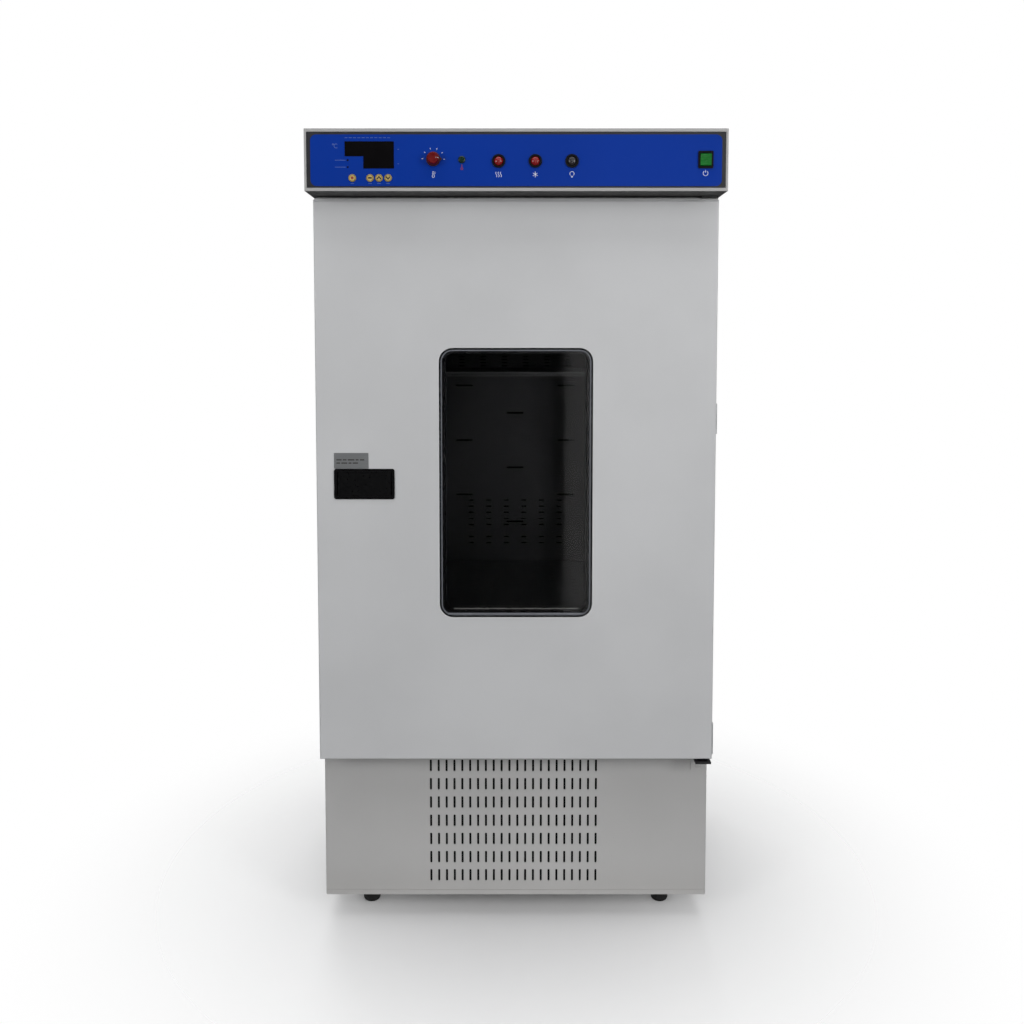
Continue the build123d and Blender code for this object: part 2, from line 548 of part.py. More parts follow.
def door_insulation():
    half, y0, y1 = CABINET_W / 2 - SHEET, DOOR_Y + SHEET, DOOR_BACK_Y - DOOR_LINER_T
    foam = block(-half, half, y0, y1, DOOR_Z0 + SHEET, DOOR_Z1 - SHEET)
    foam -= plate(window_outline(NECK_STEP - FIT), y0 - 1, y1 + 1)
    foam -= plate(window_outline(-INNER_GLASS_OVER), y1 - GLASS_T - FIT, y1 + 1)
    foam -= plate(cup_outline(FIT), y0 - 1, DOOR_Y + CUP_DEPTH + FIT)
    x0, x1, z0, z1 = frame_slot()
    foam -= block(x0, x1, DOOR_Y + CUP_DEPTH, y1 + 1, z0, z1)
    foam -= block(x0, BOLT_X0 + BOLT_ARM + BOLT_TRAVEL + 2, DOOR_Y + CUP_DEPTH,
                  DOOR_Y + CUP_DEPTH + BOLT_T + 2, z0, z1)
    return bush_holes(foam, FIT)


def window_gasket():
    """Rubber gasket: a flat lip on the panel and a neck through it that holds the outer glass."""
    lip = plate(window_outline(0) - window_outline(GASKET_BORDER), DOOR_Y - GASKET_PROUD, DOOR_Y)
    neck = window_outline(NECK_STEP + FIT) - window_outline(NECK_STEP + FIT + NECK_WALL)
    return lip + plate(neck, DOOR_Y, DOOR_Y + NECK_DEPTH)


def outer_glass():
    return plate(window_outline(NECK_STEP + NECK_WALL + 2 * FIT), DOOR_Y, DOOR_Y + GLASS_T)


def window_spacer():
    """Metal lining of the window between the two panes."""
    edge = NECK_STEP + NECK_WALL + 2 * FIT
    ring = window_outline(edge) - window_outline(edge + SPACER_WALL)
    return plate(ring, DOOR_Y + GLASS_T, DOOR_BACK_Y - DOOR_LINER_T - GLASS_T)


def inner_glass():
    y1 = DOOR_BACK_Y - DOOR_LINER_T
    return plate(window_outline(-INNER_GLASS_OVER + FIT), y1 - GLASS_T, y1)


def door_seal():
    """Magnetic bellows seal round the chamber mouth, on the back of the door."""
    x0, z0, z1 = CHAMBER_X + SEAL_INSET, CHAMBER_Z0 - SEAL_INSET, CHAMBER_Z1 + SEAL_INSET
    ring = upright_rect(-x0 - SEAL_W, x0 + SEAL_W, z0 - SEAL_W, z1 + SEAL_W) - upright_rect(-x0, x0, z0, z1)
    return plate(ring, DOOR_BACK_Y, FRONT_Y - SOFT_GAP)


def latch_housing():
    """Flush handle cup with a flat rim on the door."""
    x1 = HANDLE_X0 + HANDLE_W
    mid = (HANDLE_X0 + x1) / 2
    rim = plate(rounded(mid, HANDLE_Z, HANDLE_W, HANDLE_H, 4), DOOR_Y - HANDLE_PROUD, DOOR_Y)
    cup = plate(cup_outline(), DOOR_Y, DOOR_Y + CUP_DEPTH)
    body = rim + cup - plate(cup_outline(-CUP_WALL), DOOR_Y - HANDLE_PROUD - 1, DOOR_Y + CUP_DEPTH - CUP_WALL)
    reach = HANDLE_H / 2 - HANDLE_RIM + PADDLE_PIN_L
    hole = rod_z(paddle_x(), paddle_y(), PADDLE_PIN_R + RUN_FIT, HANDLE_Z - reach, HANDLE_Z + reach)
    return body - hole


def paddle_x():
    return HANDLE_X0 + HANDLE_RIM + PADDLE_PIVOT


def paddle_y():
    return DOOR_Y - HANDLE_PROUD + 0.5 + PADDLE_T / 2


def handle_paddle():
    """Pull paddle, hinged at its left end on two short pins, with a finger bead at its right end."""
    x0, x1 = HANDLE_X0 + HANDLE_RIM + PADDLE_FIT, HANDLE_X0 + HANDLE_W - HANDLE_RIM - PADDLE_FIT
    half = HANDLE_H / 2 - HANDLE_RIM - SLIDE_FIT
    y0 = DOOR_Y - HANDLE_PROUD + 0.5
    face = block(x0, x1, y0, y0 + PADDLE_T, HANDLE_Z - half, HANDLE_Z + half)
    bead = block(x1 - 6, x1, y0 + PADDLE_T, y0 + PADDLE_T + 5, HANDLE_Z - half + 4, HANDLE_Z + half - 4)
    reach = HANDLE_H / 2 - HANDLE_RIM + PADDLE_PIN_L - SLIDE_FIT
    return face + bead + rod_z(paddle_x(), paddle_y(), PADDLE_PIN_R, HANDLE_Z - reach, HANDLE_Z + reach)


def latch_bolt():
    """Angled bolt: an arm behind the handle cup and a tongue that reaches into the frame."""
    z0, z1 = HANDLE_Z - BOLT_H / 2, HANDLE_Z + BOLT_H / 2
    y0 = DOOR_Y + CUP_DEPTH + SOFT_GAP
    arm = block(BOLT_X0, BOLT_X0 + BOLT_ARM, y0, y0 + BOLT_T, z0, z1)
    return arm + block(BOLT_X0, BOLT_X0 + BOLT_W, y0 + BOLT_T, FRONT_Y + BOLT_REACH, z0, z1)


def hinge_brackets():
    """Upper bracket under the header, and lower bracket on the front plane, each with its pin."""
    x0, x1 = HINGE_X - BRACKET_W / 2, HINGE_X + BRACKET_W / 2
    y0 = HINGE_Y - BRACKET_TIP
    upper = block(x0, x1, y0, FRONT_Y, HEADER_Z0 - BRACKET_T, HEADER_Z0)
    upper += rod_z(HINGE_X, HINGE_Y, PIN_R, DOOR_Z1 - PIN_L + 3, HEADER_Z0 - BRACKET_T)
    seat = DOOR_Z0 - DOOR_REVEAL + BRACKET_T - 1
    lower = block(x0, x1, y0, FRONT_Y, seat - BRACKET_T, seat)
    lower += block(x0, x1, FRONT_Y - BRACKET_T, FRONT_Y, seat - BRACKET_LEG, seat - BRACKET_T)
    lower += rod_z(HINGE_X, HINGE_Y, PIN_R, seat, DOOR_Z0 + PIN_L - 3)
    return Compound([upper, lower])


def hinge_bushes():
    """Flanged bushes in the door's top and bottom edges; the lower flange carries the door."""
    bore = PIN_R + RUN_FIT
    upper = rod_z(HINGE_X, HINGE_Y, BUSH_R, DOOR_Z1 - PIN_L + FIT, DOOR_Z1 + 1)
    upper -= rod_z(HINGE_X, HINGE_Y, bore, DOOR_Z1 - PIN_L + 2, DOOR_Z1 + 2)
    seat = DOOR_Z0 - DOOR_REVEAL + BRACKET_T - 1
    lower = rod_z(HINGE_X, HINGE_Y, BUSH_R, DOOR_Z0, DOOR_Z0 + PIN_L - FIT)
    lower += rod_z(HINGE_X, HINGE_Y, BUSH_R + 2, seat + SOFT_GAP, DOOR_Z0)
    lower -= rod_z(HINGE_X, HINGE_Y, bore, seat - 1, DOOR_Z0 + PIN_L - 2)
    return Compound([upper, lower])


# ================================================================ control header
def header_cover():
    """Folded header case, open underneath, with a narrow lip round the front panel."""
    half = HEADER_W / 2
    case = block(-half, half, HEADER_Y, REAR_Y, HEADER_Z0, TOP_Z)
    case -= block(-half + SHEET, half - SHEET, HEADER_Y + SHEET, REAR_Y - SHEET, HEADER_Z0 - 1, TOP_Z - SHEET)
    return case - plate(panel_outline(FIT), HEADER_Y - 1, HEADER_Y + SHEET + 1)


def header_floor():
    half = HEADER_W / 2 - SHEET
    return block(-half, half, HEADER_Y + SHEET, REAR_Y - SHEET, HEADER_Z0, HEADER_Z0 + SHEET)


def panel_outline(grow=0.0):
    x, z0, z1 = HEADER_W / 2 - PANEL_RIM, HEADER_Z0 + PANEL_RIM + SHEET, TOP_Z - PANEL_RIM - SHEET
    return upright_rect(-x - grow, x + grow, z0 - grow, z1 + grow)


def display_outline(grow=0.0):
    """Stepped outline: a wide upper part, and the right part carried further down."""
    upper = upright_rect(DISPLAY_X0 - grow, DISPLAY_X1 + grow,
                         PANEL_MID_Z + DISPLAY_STEP - grow, PANEL_MID_Z + DISPLAY_TOP + grow)
    lower = upright_rect(DISPLAY_STEP_X - grow, DISPLAY_X1 + grow,
                         PANEL_MID_Z + DISPLAY_BOTTOM - grow, PANEL_MID_Z + DISPLAY_TOP + grow)
    return upper + lower


def with_control_holes(sheet):
    """Cuts every control's hole; the panel and the overlay share them."""
    sheet -= display_outline(FIT)
    sheet -= [Pos(x, PANEL_MID_Z + KEY_DZ) * Circle(KEY_R + SLIDE_FIT) for x in KEY_XS.values()]
    sheet -= [Pos(x, PANEL_MID_Z + BUTTON_DZ) * Circle(BARREL_R + FIT) for x in BUTTON_XS.values()]
    sheet -= Pos(KNOB_X, PANEL_MID_Z + KNOB_DZ) * Circle(KNOB_SHAFT_R + FIT)
    sheet -= Pos(LAMP_X, PANEL_MID_Z + LAMP_DZ) * Circle(LAMP_R - 1.2 + FIT)
    return sheet - switch_outline(FIT)


def switch_outline(grow=0.0):
    w, h = SWITCH_W - SWITCH_RIM + 2 * grow, SWITCH_H - SWITCH_RIM + 2 * grow
    return Pos(SWITCH_X, PANEL_MID_Z + SWITCH_DZ) * Rectangle(w, h)


def header_front_panel():
    return plate(with_control_holes(panel_outline()), PANEL_Y, PANEL_Y + PANEL_T)


def control_overlay():
    half_w = HEADER_W / 2 - PANEL_RIM - OVERLAY_MARGIN_X
    z0 = HEADER_Z0 + PANEL_RIM + SHEET + OVERLAY_MARGIN_BOTTOM
    z1 = TOP_Z - PANEL_RIM - SHEET - OVERLAY_MARGIN_TOP
    sheet = rounded(0, (z0 + z1) / 2, 2 * half_w, z1 - z0, OVERLAY_R)
    return plate(with_control_holes(sheet), OVERLAY_Y, PANEL_Y)


def display_window():
    return plate(display_outline(), OVERLAY_Y - DISPLAY_PROUD, PANEL_Y + PANEL_T)


def controller_module():
    """Temperature controller in its housing, behind the display and keys."""
    y0 = PANEL_Y + PANEL_T
    body = block(DISPLAY_X0 - 6, DISPLAY_X1 + 6, y0, y0 + 60, PANEL_MID_Z + KEY_DZ - 9, PANEL_MID_Z + DISPLAY_TOP + 6)
    body -= block(DISPLAY_X0 - 2, DISPLAY_X1 + 2, y0 - 1, y0 + 4,
                  PANEL_MID_Z + KEY_DZ - KEY_R - 1.5, PANEL_MID_Z + DISPLAY_BOTTOM - 2)
    return body


def key(x):
    """Round domed key."""
    z = PANEL_MID_Z + KEY_DZ
    cap = rod_y(x, z, KEY_R, OVERLAY_Y - KEY_PROUD, PANEL_Y + PANEL_T + 2)
    return fillet(cap.edges().filter_by(GeomType.CIRCLE).sort_by(Axis.Y)[0], 1.0)


def thermostat_knob():
    """Fluted knob with a skirt and pointer, on a plain shaft."""
    z, y0 = PANEL_MID_Z + KNOB_DZ, OVERLAY_Y - KNOB_OUT
    back = OVERLAY_Y - KNOB_GAP
    cap = rod_y(KNOB_X, z, KNOB_R, y0, back)
    for k in range(12):
        flute = rod_y(KNOB_R + 0.6, 0, 1.6, y0 - 1, back - KNOB_SKIRT_T)
        cap -= Pos(KNOB_X, 0, z) * Rot(0, 15 + 30 * k, 0) * flute
    skirt = rod_y(KNOB_X, z, KNOB_SKIRT_R - 3, back - KNOB_SKIRT_T, back)
    pointer = block(KNOB_X, KNOB_X + KNOB_SKIRT_R, back - KNOB_SKIRT_T, back, z - 2.5, z + 2.5)
    shaft = rod_y(KNOB_X, z, KNOB_SHAFT_R, back, PANEL_Y + PANEL_T + 10)
    return cap + skirt + pointer + shaft


def alarm_lamp():
    z = PANEL_MID_Z + LAMP_DZ
    lens = rod_y(LAMP_X, z, LAMP_R, OVERLAY_Y - 3, OVERLAY_Y)
    lens = fillet(lens.edges().filter_by(GeomType.CIRCLE).sort_by(Axis.Y)[0], 1.8)
    return lens + rod_y(LAMP_X, z, LAMP_R - 1.2, OVERLAY_Y, PANEL_Y + 22)


def round_button(x):
    z, y0 = PANEL_MID_Z + BUTTON_DZ, OVERLAY_Y - BUTTON_PROUD
    cap = rod_y(x, z, BUTTON_R, y0, y0 + BUTTON_L)
    return fillet(cap.edges().filter_by(GeomType.CIRCLE).sort_by(Axis.Y)[0], 1.2)


def panel_device_bodies():
    """Bezels and barrels of the three push-buttons, and the thermostat's body."""
    bodies = []
    z = PANEL_MID_Z + BUTTON_DZ
    for x in BUTTON_XS.values():
        ring = rod_y(x, z, BEZEL_R, OVERLAY_Y - BUTTON_RING_T, OVERLAY_Y)
        barrel = rod_y(x, z, BARREL_R, OVERLAY_Y, OVERLAY_Y + BARREL_L)
        bore = rod_y(x, z, BUTTON_R + FIT, OVERLAY_Y - BUTTON_RING_T - 1, OVERLAY_Y + BARREL_L - 3)
        bodies.append(ring + barrel - bore)
    z, y0 = PANEL_MID_Z + KNOB_DZ, PANEL_Y + PANEL_T
    body = block(KNOB_X - 20, KNOB_X + 20, y0, y0 + 30, z - 20, z + 20)
    bodies.append(body - rod_y(KNOB_X, z, KNOB_SHAFT_R + RUN_FIT, y0 - 1, y0 + 12))
    return Compound(bodies)


def rocker_r():
    return (SWITCH_H - 2 * SWITCH_RIM) / 2 - 0.6


def rocker_axis():
    """The rocker's pivot, as y and z."""
    return OVERLAY_Y + 1.0, PANEL_MID_Z + SWITCH_DZ


def power_switch_housing():
    y, z = rocker_axis()
    flange = Pos(SWITCH_X, z) * RectangleRounded(SWITCH_W, SWITCH_H, 2)
    body = plate(flange, OVERLAY_Y - SWITCH_FLANGE_T, OVERLAY_Y) + plate(switch_outline(), OVERLAY_Y, OVERLAY_Y + SWITCH_DEPTH)
    well = Pos(SWITCH_X, z) * Rectangle(SWITCH_W - 2 * SWITCH_RIM, SWITCH_H - 2 * SWITCH_RIM)
    body -= plate(well, OVERLAY_Y - SWITCH_FLANGE_T - 1, y + rocker_r() + 2)
    half = (SWITCH_W - 2 * SWITCH_RIM) / 2 + 1.2
    return body - rod_x(SWITCH_X - half, SWITCH_X + half, y, z, 1.2 + RUN_FIT)


def power_rocker():
    """Rocker with a shallow V face, on two short pins, resting tilted to its on side."""
    y, z = rocker_axis()
    half = (SWITCH_W - 2 * SWITCH_RIM) / 2
    r = rocker_r()
    drum = rod_x(SWITCH_X - half + FIT, SWITCH_X + half - FIT, y, z, r)
    front = OVERLAY_Y - SWITCH_FLANGE_T - 1.5
    for side in (-1, 1):
        wedge = Pos(SWITCH_X, front, z) * Rot(side * ROCKER_TILT, 0, 0) * Pos(0, -20, side * 20) * Box(60, 40, 40)
        drum -= wedge
    drum -= block(SWITCH_X - 30, SWITCH_X + 30, y + r * 0.6, y + 40, z - 40, z + 40)
    drum += rod_x(SWITCH_X - half - 1, SWITCH_X + half + 1, y, z, 1.2)
    return Pos(0, y, z) * Rot(ROCKER_TILT, 0, 0) * Pos(0, -y, -z) * drum


# ================================================================ screws
SCREW_R, SCREW_H = 4.0, 2.0


def fasteners():
    """Pan-head screws on the rear panels and on the lower hinge bracket."""
    heads = []
    for x in (-SIDE_X + 12, 0.0, SIDE_X - 12):
        for z in (DECK_Z + 12, (DECK_Z + HEADER_Z0) / 2, HEADER_Z0 - 12, DECK_Z - 12, PAN_Z + 12):
            head = rod_y(x, z, SCREW_R, REAR_Y, REAR_Y + SCREW_H)
            heads.append(fillet(head.edges().filter_by(GeomType.CIRCLE).sort_by(Axis.Y)[-1], 0.9))
    leg_z = DOOR_Z0 - DOOR_REVEAL + BRACKET_T - 1 - BRACKET_LEG + 8
    for x in (HINGE_X - 7, HINGE_X + 7):
        heads.append(rod_y(x, leg_z, 3.0, FRONT_Y - BRACKET_T - 1.5, FRONT_Y - BRACKET_T))
    return Compound(heads)


PARTS = {
    "base_pan": base_pan(),
    "feet": feet(),
    "base_front_grille": base_front_grille(),
    "left_side_panel": side_panel(-1),
    "right_side_panel": side_panel(1),
    "rear_panel": rear_panel(),
    "rear_service_cover": rear_service_cover(),
    "machine_deck": machine_deck(),
    "mains_inlet": mains_inlet(),
    "insulation_boards": insulation_boards(),
    "chamber_liner": chamber_liner(),
    "front_frame": front_frame(),
    "strike_plate": strike_plate(),
    "air_duct_panel": air_duct_panel(),
    "upper_shelf": shelf(UPPER_SHELF_Z),
    "lower_shelf": shelf(LOWER_SHELF_Z),
    "shelf_runners": shelf_runners(),
    "temperature_probe": temperature_probe(),
    "chamber_lamp": chamber_lamp(),
    "circulation_fan": circulation_fan(),
    "circulation_fan_motor": circulation_fan_motor(),
    "evaporator": evaporator(),
    "heater_element": heater_element(),
    "condenser": condenser(),
    "condenser_fan": condenser_fan(),
    "condenser_fan_motor": condenser_fan_motor(),
    "compressor": compressor(),
    "refrigerant_pipes": refrigerant_pipes(),
    "door_outer_panel": door_outer_panel(),
    "door_inner_panel": door_inner_panel(),
    "door_insulation": door_insulation(),
    "window_gasket": window_gasket(),
    "outer_glass": outer_glass(),
    "window_spacer": window_spacer(),
    "inner_glass": inner_glass(),
    "door_seal": door_seal(),
    "latch_housing": latch_housing(),
    "handle_paddle": handle_paddle(),
    "latch_bolt": latch_bolt(),
    "hinge_brackets": hinge_brackets(),
    "hinge_bushes": hinge_bushes(),
    "header_cover": header_cover(),
    "header_floor": header_floor(),
    "header_front_panel": header_front_panel(),
    "control_overlay": control_overlay(),
    "display_window": display_window(),
    "controller_module": controller_module(),
    "thermostat_knob": thermostat_knob(),
    "alarm_lamp": alarm_lamp(),
    "panel_device_bodies": panel_device_bodies(),
    "power_switch_housing": power_switch_housing(),
    "power_rocker": power_rocker(),
    "fasteners": fasteners(),
}
PARTS.update({name: key(x) for name, x in KEY_XS.items()})
PARTS.update({name: round_button(x) for name, x in BUTTON_XS.items()})

os.makedirs("parts", exist_ok=True)
for name, shape in PARTS.items():
    export_step(shape, f"parts/{name}.step")
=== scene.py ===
import json
import math

import bmesh
import bpy
from mathutils import Euler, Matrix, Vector

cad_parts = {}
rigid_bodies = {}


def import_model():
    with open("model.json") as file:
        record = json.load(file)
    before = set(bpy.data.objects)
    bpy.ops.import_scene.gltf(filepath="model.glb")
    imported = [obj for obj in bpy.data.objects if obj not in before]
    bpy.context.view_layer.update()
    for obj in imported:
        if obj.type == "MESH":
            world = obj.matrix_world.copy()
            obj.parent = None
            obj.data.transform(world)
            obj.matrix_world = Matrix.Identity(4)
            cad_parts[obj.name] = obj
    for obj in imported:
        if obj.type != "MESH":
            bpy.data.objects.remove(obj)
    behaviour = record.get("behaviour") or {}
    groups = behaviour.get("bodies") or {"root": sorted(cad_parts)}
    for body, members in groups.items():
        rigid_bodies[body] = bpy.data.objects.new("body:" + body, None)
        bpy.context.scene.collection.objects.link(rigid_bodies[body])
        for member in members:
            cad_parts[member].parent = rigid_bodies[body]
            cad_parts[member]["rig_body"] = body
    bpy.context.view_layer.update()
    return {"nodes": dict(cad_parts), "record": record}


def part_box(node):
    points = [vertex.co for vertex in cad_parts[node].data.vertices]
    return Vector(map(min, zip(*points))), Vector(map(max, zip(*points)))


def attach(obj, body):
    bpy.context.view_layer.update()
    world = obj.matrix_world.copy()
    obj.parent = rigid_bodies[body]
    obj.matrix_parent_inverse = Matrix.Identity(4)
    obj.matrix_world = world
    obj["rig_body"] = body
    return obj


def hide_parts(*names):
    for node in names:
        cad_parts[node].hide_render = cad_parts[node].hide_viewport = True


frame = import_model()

bl_info = {
    "name": "Laboratory incubator finishes",
    "version": (1, 0, 0),
    "blender": (4, 5, 0),
    "location": "3D View > Sidebar > Incubator",
    "description": "Finishes, fine pieces and a plain studio for the laboratory incubator frame",
    "category": "Object",
}

def middle(node):
    low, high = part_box(node)
    return (low + high) / 2


# Places that the fine pieces are laid out from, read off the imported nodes, and the keys from left to right.
FACE_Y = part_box("control_overlay")[0].y
DOOR_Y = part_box("door_outer_panel")[0].y
KNOB_X, KNOB_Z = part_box("thermostat_knob")[0].x + 0.012, middle("thermostat_knob").z
KEYS = ("key_set", "key_minus", "key_up", "key_down")


# ---- user settings
def colour_setting(name, text, default):
    return bpy.props.FloatVectorProperty(
        name=name, description=text, subtype="COLOR", size=3, min=0.0, max=1.0, default=default
    )


def length_setting(name, text, default):
    return bpy.props.FloatProperty(name=name, description=text, default=default, unit="LENGTH", precision=5)


def number_setting(name, text, default):
    return bpy.props.FloatProperty(name=name, description=text, default=default)


class IncubatorPaint(bpy.types.PropertyGroup):
    """Colours and texture of the outer sheets and plastics."""
    cabinet: colour_setting("Cabinet", "Powder coat of the cabinet and base", (0.53, 0.525, 0.52))
    door: colour_setting("Door", "Powder coat of the door", (0.67, 0.675, 0.685))
    overlay: colour_setting("Overlay", "Printed film of the control panel", (0.0008, 0.036, 0.33))
    panel: colour_setting("Panel border", "Dark metal round the printed film", (0.018, 0.018, 0.022))
    gasket: colour_setting("Gasket", "Rubber round the window", (0.165, 0.172, 0.195))
    glass: colour_setting("Glass", "What one face of the glass lets through", (0.715, 0.715, 0.72))
    key: colour_setting("Keys", "Small round keys", (0.58, 0.42, 0.13))
    button: colour_setting("Buttons", "Heating and cooling buttons", (0.30, 0.008, 0.010))
    rocker: colour_setting("Rocker", "Power rocker", (0.005, 0.20, 0.02))
    peel: length_setting("Orange peel", "Width of one dimple in the powder coat", 0.0022)


class IncubatorTrim(bpy.types.PropertyGroup):
    """Sizes of the mouldings, marks and small fittings."""
    gasket_width: length_setting("Gasket width", "Rubber lip round the window", 0.0054)
    gasket_height: length_setting("Gasket height", "Rubber lip in front of the door", 0.0020)
    stroke: length_setting("Stroke", "Width of a printed line", 0.0009)
    print_height: length_setting("Print height", "How far the print stands up", 0.00012)
    dial_radius: length_setting("Dial radius", "Middle of the marks round the knob", 0.0182)
    dial_marks: bpy.props.IntProperty(name="Dial marks", description="Marks round the knob", default=6, min=2)
    bracket_drop: length_setting("Bracket drop", "Door bottom to the underside of the lower hinge plate", 0.0080)
    edge: length_setting("Folded edge", "Radius of the folded sheet edges", 0.0012)
    plate_width: length_setting("Plate width", "Data plate above the handle", 0.061)
    plate_height: length_setting("Plate height", "Data plate above the handle", 0.0285)


class IncubatorStage(bpy.types.PropertyGroup):
    """Camera, lights and floor."""
    lens: number_setting("Lens", "Focal length in millimetres on a 36 mm sensor", 35.82)
    shift: number_setting("Shift", "Upright shift of the lens", -0.0962)
    pitch: bpy.props.FloatProperty(
        name="Pitch", description="Camera's tilt below level", subtype="ANGLE", default=math.radians(3.68)
    )
    eye: bpy.props.FloatVectorProperty(
        name="Eye", description="Camera's place", subtype="TRANSLATION", default=(-0.007, -2.0735, 1.063)
    )
    front: number_setting("Front light", "Power in watts of the large light in front", 7.0)
    side: number_setting("Side lights", "Power in watts of each light beside the camera", 21.5)
    strip: number_setting("Strip light", "Power in watts of the strip mirrored in the glass", 7.0)
    top: number_setting("Top light", "Power in watts of the light overhead", 50.0)
    back: number_setting("Back light", "Power in watts of the light behind", 75.0)
    room: number_setting("Room light", "Strength of the even light all round", 0.17)
    floor: colour_setting("Floor", "Colour of the plain floor", (0.93, 0.93, 0.935))


def paint():
    return bpy.context.scene.incubator_paint


def trim():
    return bpy.context.scene.incubator_trim


# ---- node trees and finishes
class Tree:
    """A node tree whose nodes are made together with what feeds them."""

    def __init__(self, tree):
        self.tree = tree

    def node(self, kind, inputs=(), **settings):
        made = self.tree.nodes.new(kind)
        for label, value in settings.items():
            setattr(made, label, value)
        self.feed(made, inputs)
        return made

    def feed(self, node, inputs):
        """Gives each input a value, a socket, or a node whose first output feeds it."""
        for label, value in dict(inputs).items():
            if isinstance(value, bpy.types.Node):
                value = value.outputs[0]
            if isinstance(value, bpy.types.NodeSocket):
                self.tree.links.new(value, node.inputs[label])
            else:
                node.inputs[label].default_value = value

    def surface(self, end, factor, first, second):
        """Ends the tree with a mix of two shaders."""
        mix = self.node("ShaderNodeMixShader", {0: factor, 1: first, 2: second})
        self.feed(self.tree.nodes[end], {"Surface": mix})


def shade(colour, factor, lift=0.0):
    return tuple(c * factor + lift for c in colour)


class Finish(Tree):
    """A surface finish whose patterns lie in the object's own coordinates, in metres."""

    def __init__(self, name, colour=(0.5, 0.5, 0.5), roughness=0.5, **sockets):
        self.material = bpy.data.materials.new(name)
        self.material.use_nodes = True
        super().__init__(self.material.node_tree)
        self.shader = self.tree.nodes["Principled BSDF"]
        self.place = self.node("ShaderNodeTexCoord").outputs["Object"]
        self.own_colour, self.own_roughness, self.relief = colour, roughness, {}
        named = {label.replace("_", " ").title().replace("Ior", "IOR"): value for label, value in sockets.items()}
        self.feed(self.shader, {"Base Color": (*colour, 1), "Roughness": roughness, **named})

    def math(self, operation, *values):
        return self.node("ShaderNodeMath", enumerate(values), operation=operation)

    def grain(self, size, detail=2.0, stretch=(1, 1, 1)):
        """Noise with features of about the given size, drawn out where stretch is above 1."""
        drawn = self.node("ShaderNodeMapping", {"Vector": self.place, "Scale": [1 / (size * s) for s in stretch]})
        return self.node("ShaderNodeTexNoise", {"Vector": drawn, "Scale": 1.0, "Detail": detail})

    def cells(self, size, output="Distance"):
        return self.node("ShaderNodeTexVoronoi", {"Vector": self.place, "Scale": 1 / size}).outputs[output]

    def ramp(self, value, low, high, start=0.3, end=0.7):
        """A value between low and high, as the source goes from start to end."""
        span = {"From Min": start, "From Max": end, "To Min": low, "To Max": high}
        return self.node("ShaderNodeMapRange", {"Value": value, **span}, interpolation_type="SMOOTHSTEP")

    def along(self, axis, start, end, centre=None):
        """0 before start and 1 after end along one axis, or out to both sides of a centre."""
        reach = self.node("ShaderNodeSeparateXYZ", {"Vector": self.place}).outputs[axis]
        if centre is not None:
            reach = self.math("ABSOLUTE", self.math("SUBTRACT", reach, centre))
        return self.ramp(reach, 0, 1, start, end)

    def colour(self, factor, first, second):
        """From the first colour to the second as the factor goes from 0 to 1."""
        node = self.node("ShaderNodeMix", {"Factor": factor}, data_type="RGBA")
        pair = [k for k, socket in enumerate(node.inputs) if socket.type == "RGBA"]
        self.feed(node, zip(pair, (c if isinstance(c, bpy.types.NodeSocket) else (*c, 1) for c in (first, second))))
        return [socket for socket in node.outputs if socket.type == "RGBA"][0]

    def tone(self, source, first, second, *span, lift=0.0):
        """The finish's own colour, shaded from the first factor to the second along the source."""
        own = self.own_colour
        return self.colour(self.ramp(source, 0, 1, *span), shade(own, first), shade(own, second, lift))

    def base(self, source):
        self.feed(self.shader, {"Base Color": source})

    def rough(self, source, less, more, *span):
        """Roughness that swings about the finish's own along the source."""
        own = self.own_roughness
        self.feed(self.shader, {"Roughness": self.ramp(source, own - less, own + more, *span)})

    def bump(self, height, depth, strength):
        """Adds a layer of relief of the given depth."""
        layer = {"Height": height, "Distance": depth, "Strength": strength, **self.relief}
        self.relief = {"Normal": self.node("ShaderNodeBump", layer)}
        self.feed(self.shader, self.relief)
        return self


def powder_coat(name, colour, roughness, peel):
    """Powder-coated sheet: orange peel, slow drift in tone, and a darker, browner tone low down, near the floor."""
    f = Finish(name, colour, roughness, specular_ior_level=0.45)
    drift = f.tone(f.grain(0.22, 3), 0.965, 1.025)
    speck = f.colour(f.ramp(f.grain(peel * 0.7), 0, 1, 0.66, 0.8), drift, shade(colour, 0.86))
    # darker and browner below 14 cm: up to 16 per cent of the way to a dull brown
    low_darkening = f.ramp(f.along("Z", 0.04, 0.14), 0.16, 0.0, 0, 1)
    f.base(f.colour(low_darkening, speck, LOW_TONE))
    f.rough(f.grain(0.012, 3), 0.05, 0.07)
    f.bump(f.grain(peel, 1), peel * PEEL_DEPTH, 0.6)
    return f.bump(f.grain(0.09), 0.0003, 0.12)


def moulded(name, colour, roughness=0.45, grain=0.0006, gloss=0.5):
    """Moulded plastic with a fine spark-eroded grain and faint rubbing."""
    f = Finish(name, colour, roughness, specular_ior_level=gloss)
    f.base(f.tone(f.grain(0.006, 4), 0.92, 1.12, 0.5, 0.75, lift=0.002))
    f.rough(f.grain(0.004, 3), 0.07, 0.08)
    return f.bump(f.cells(grain), 0.00004, 0.6)


def rubber(name, colour, roughness=0.62):
    """Extruded rubber: dull, with a dusty bloom and fine pores."""
    f = Finish(name, colour, roughness, specular_ior_level=0.35)
    f.base(f.tone(f.grain(0.014, 4), 1, 1.15, 0.45, 0.75, lift=0.012))
    f.rough(f.grain(0.003), 0.08, 0.1)
    return f.bump(f.grain(0.0009), 0.00005, 0.7)


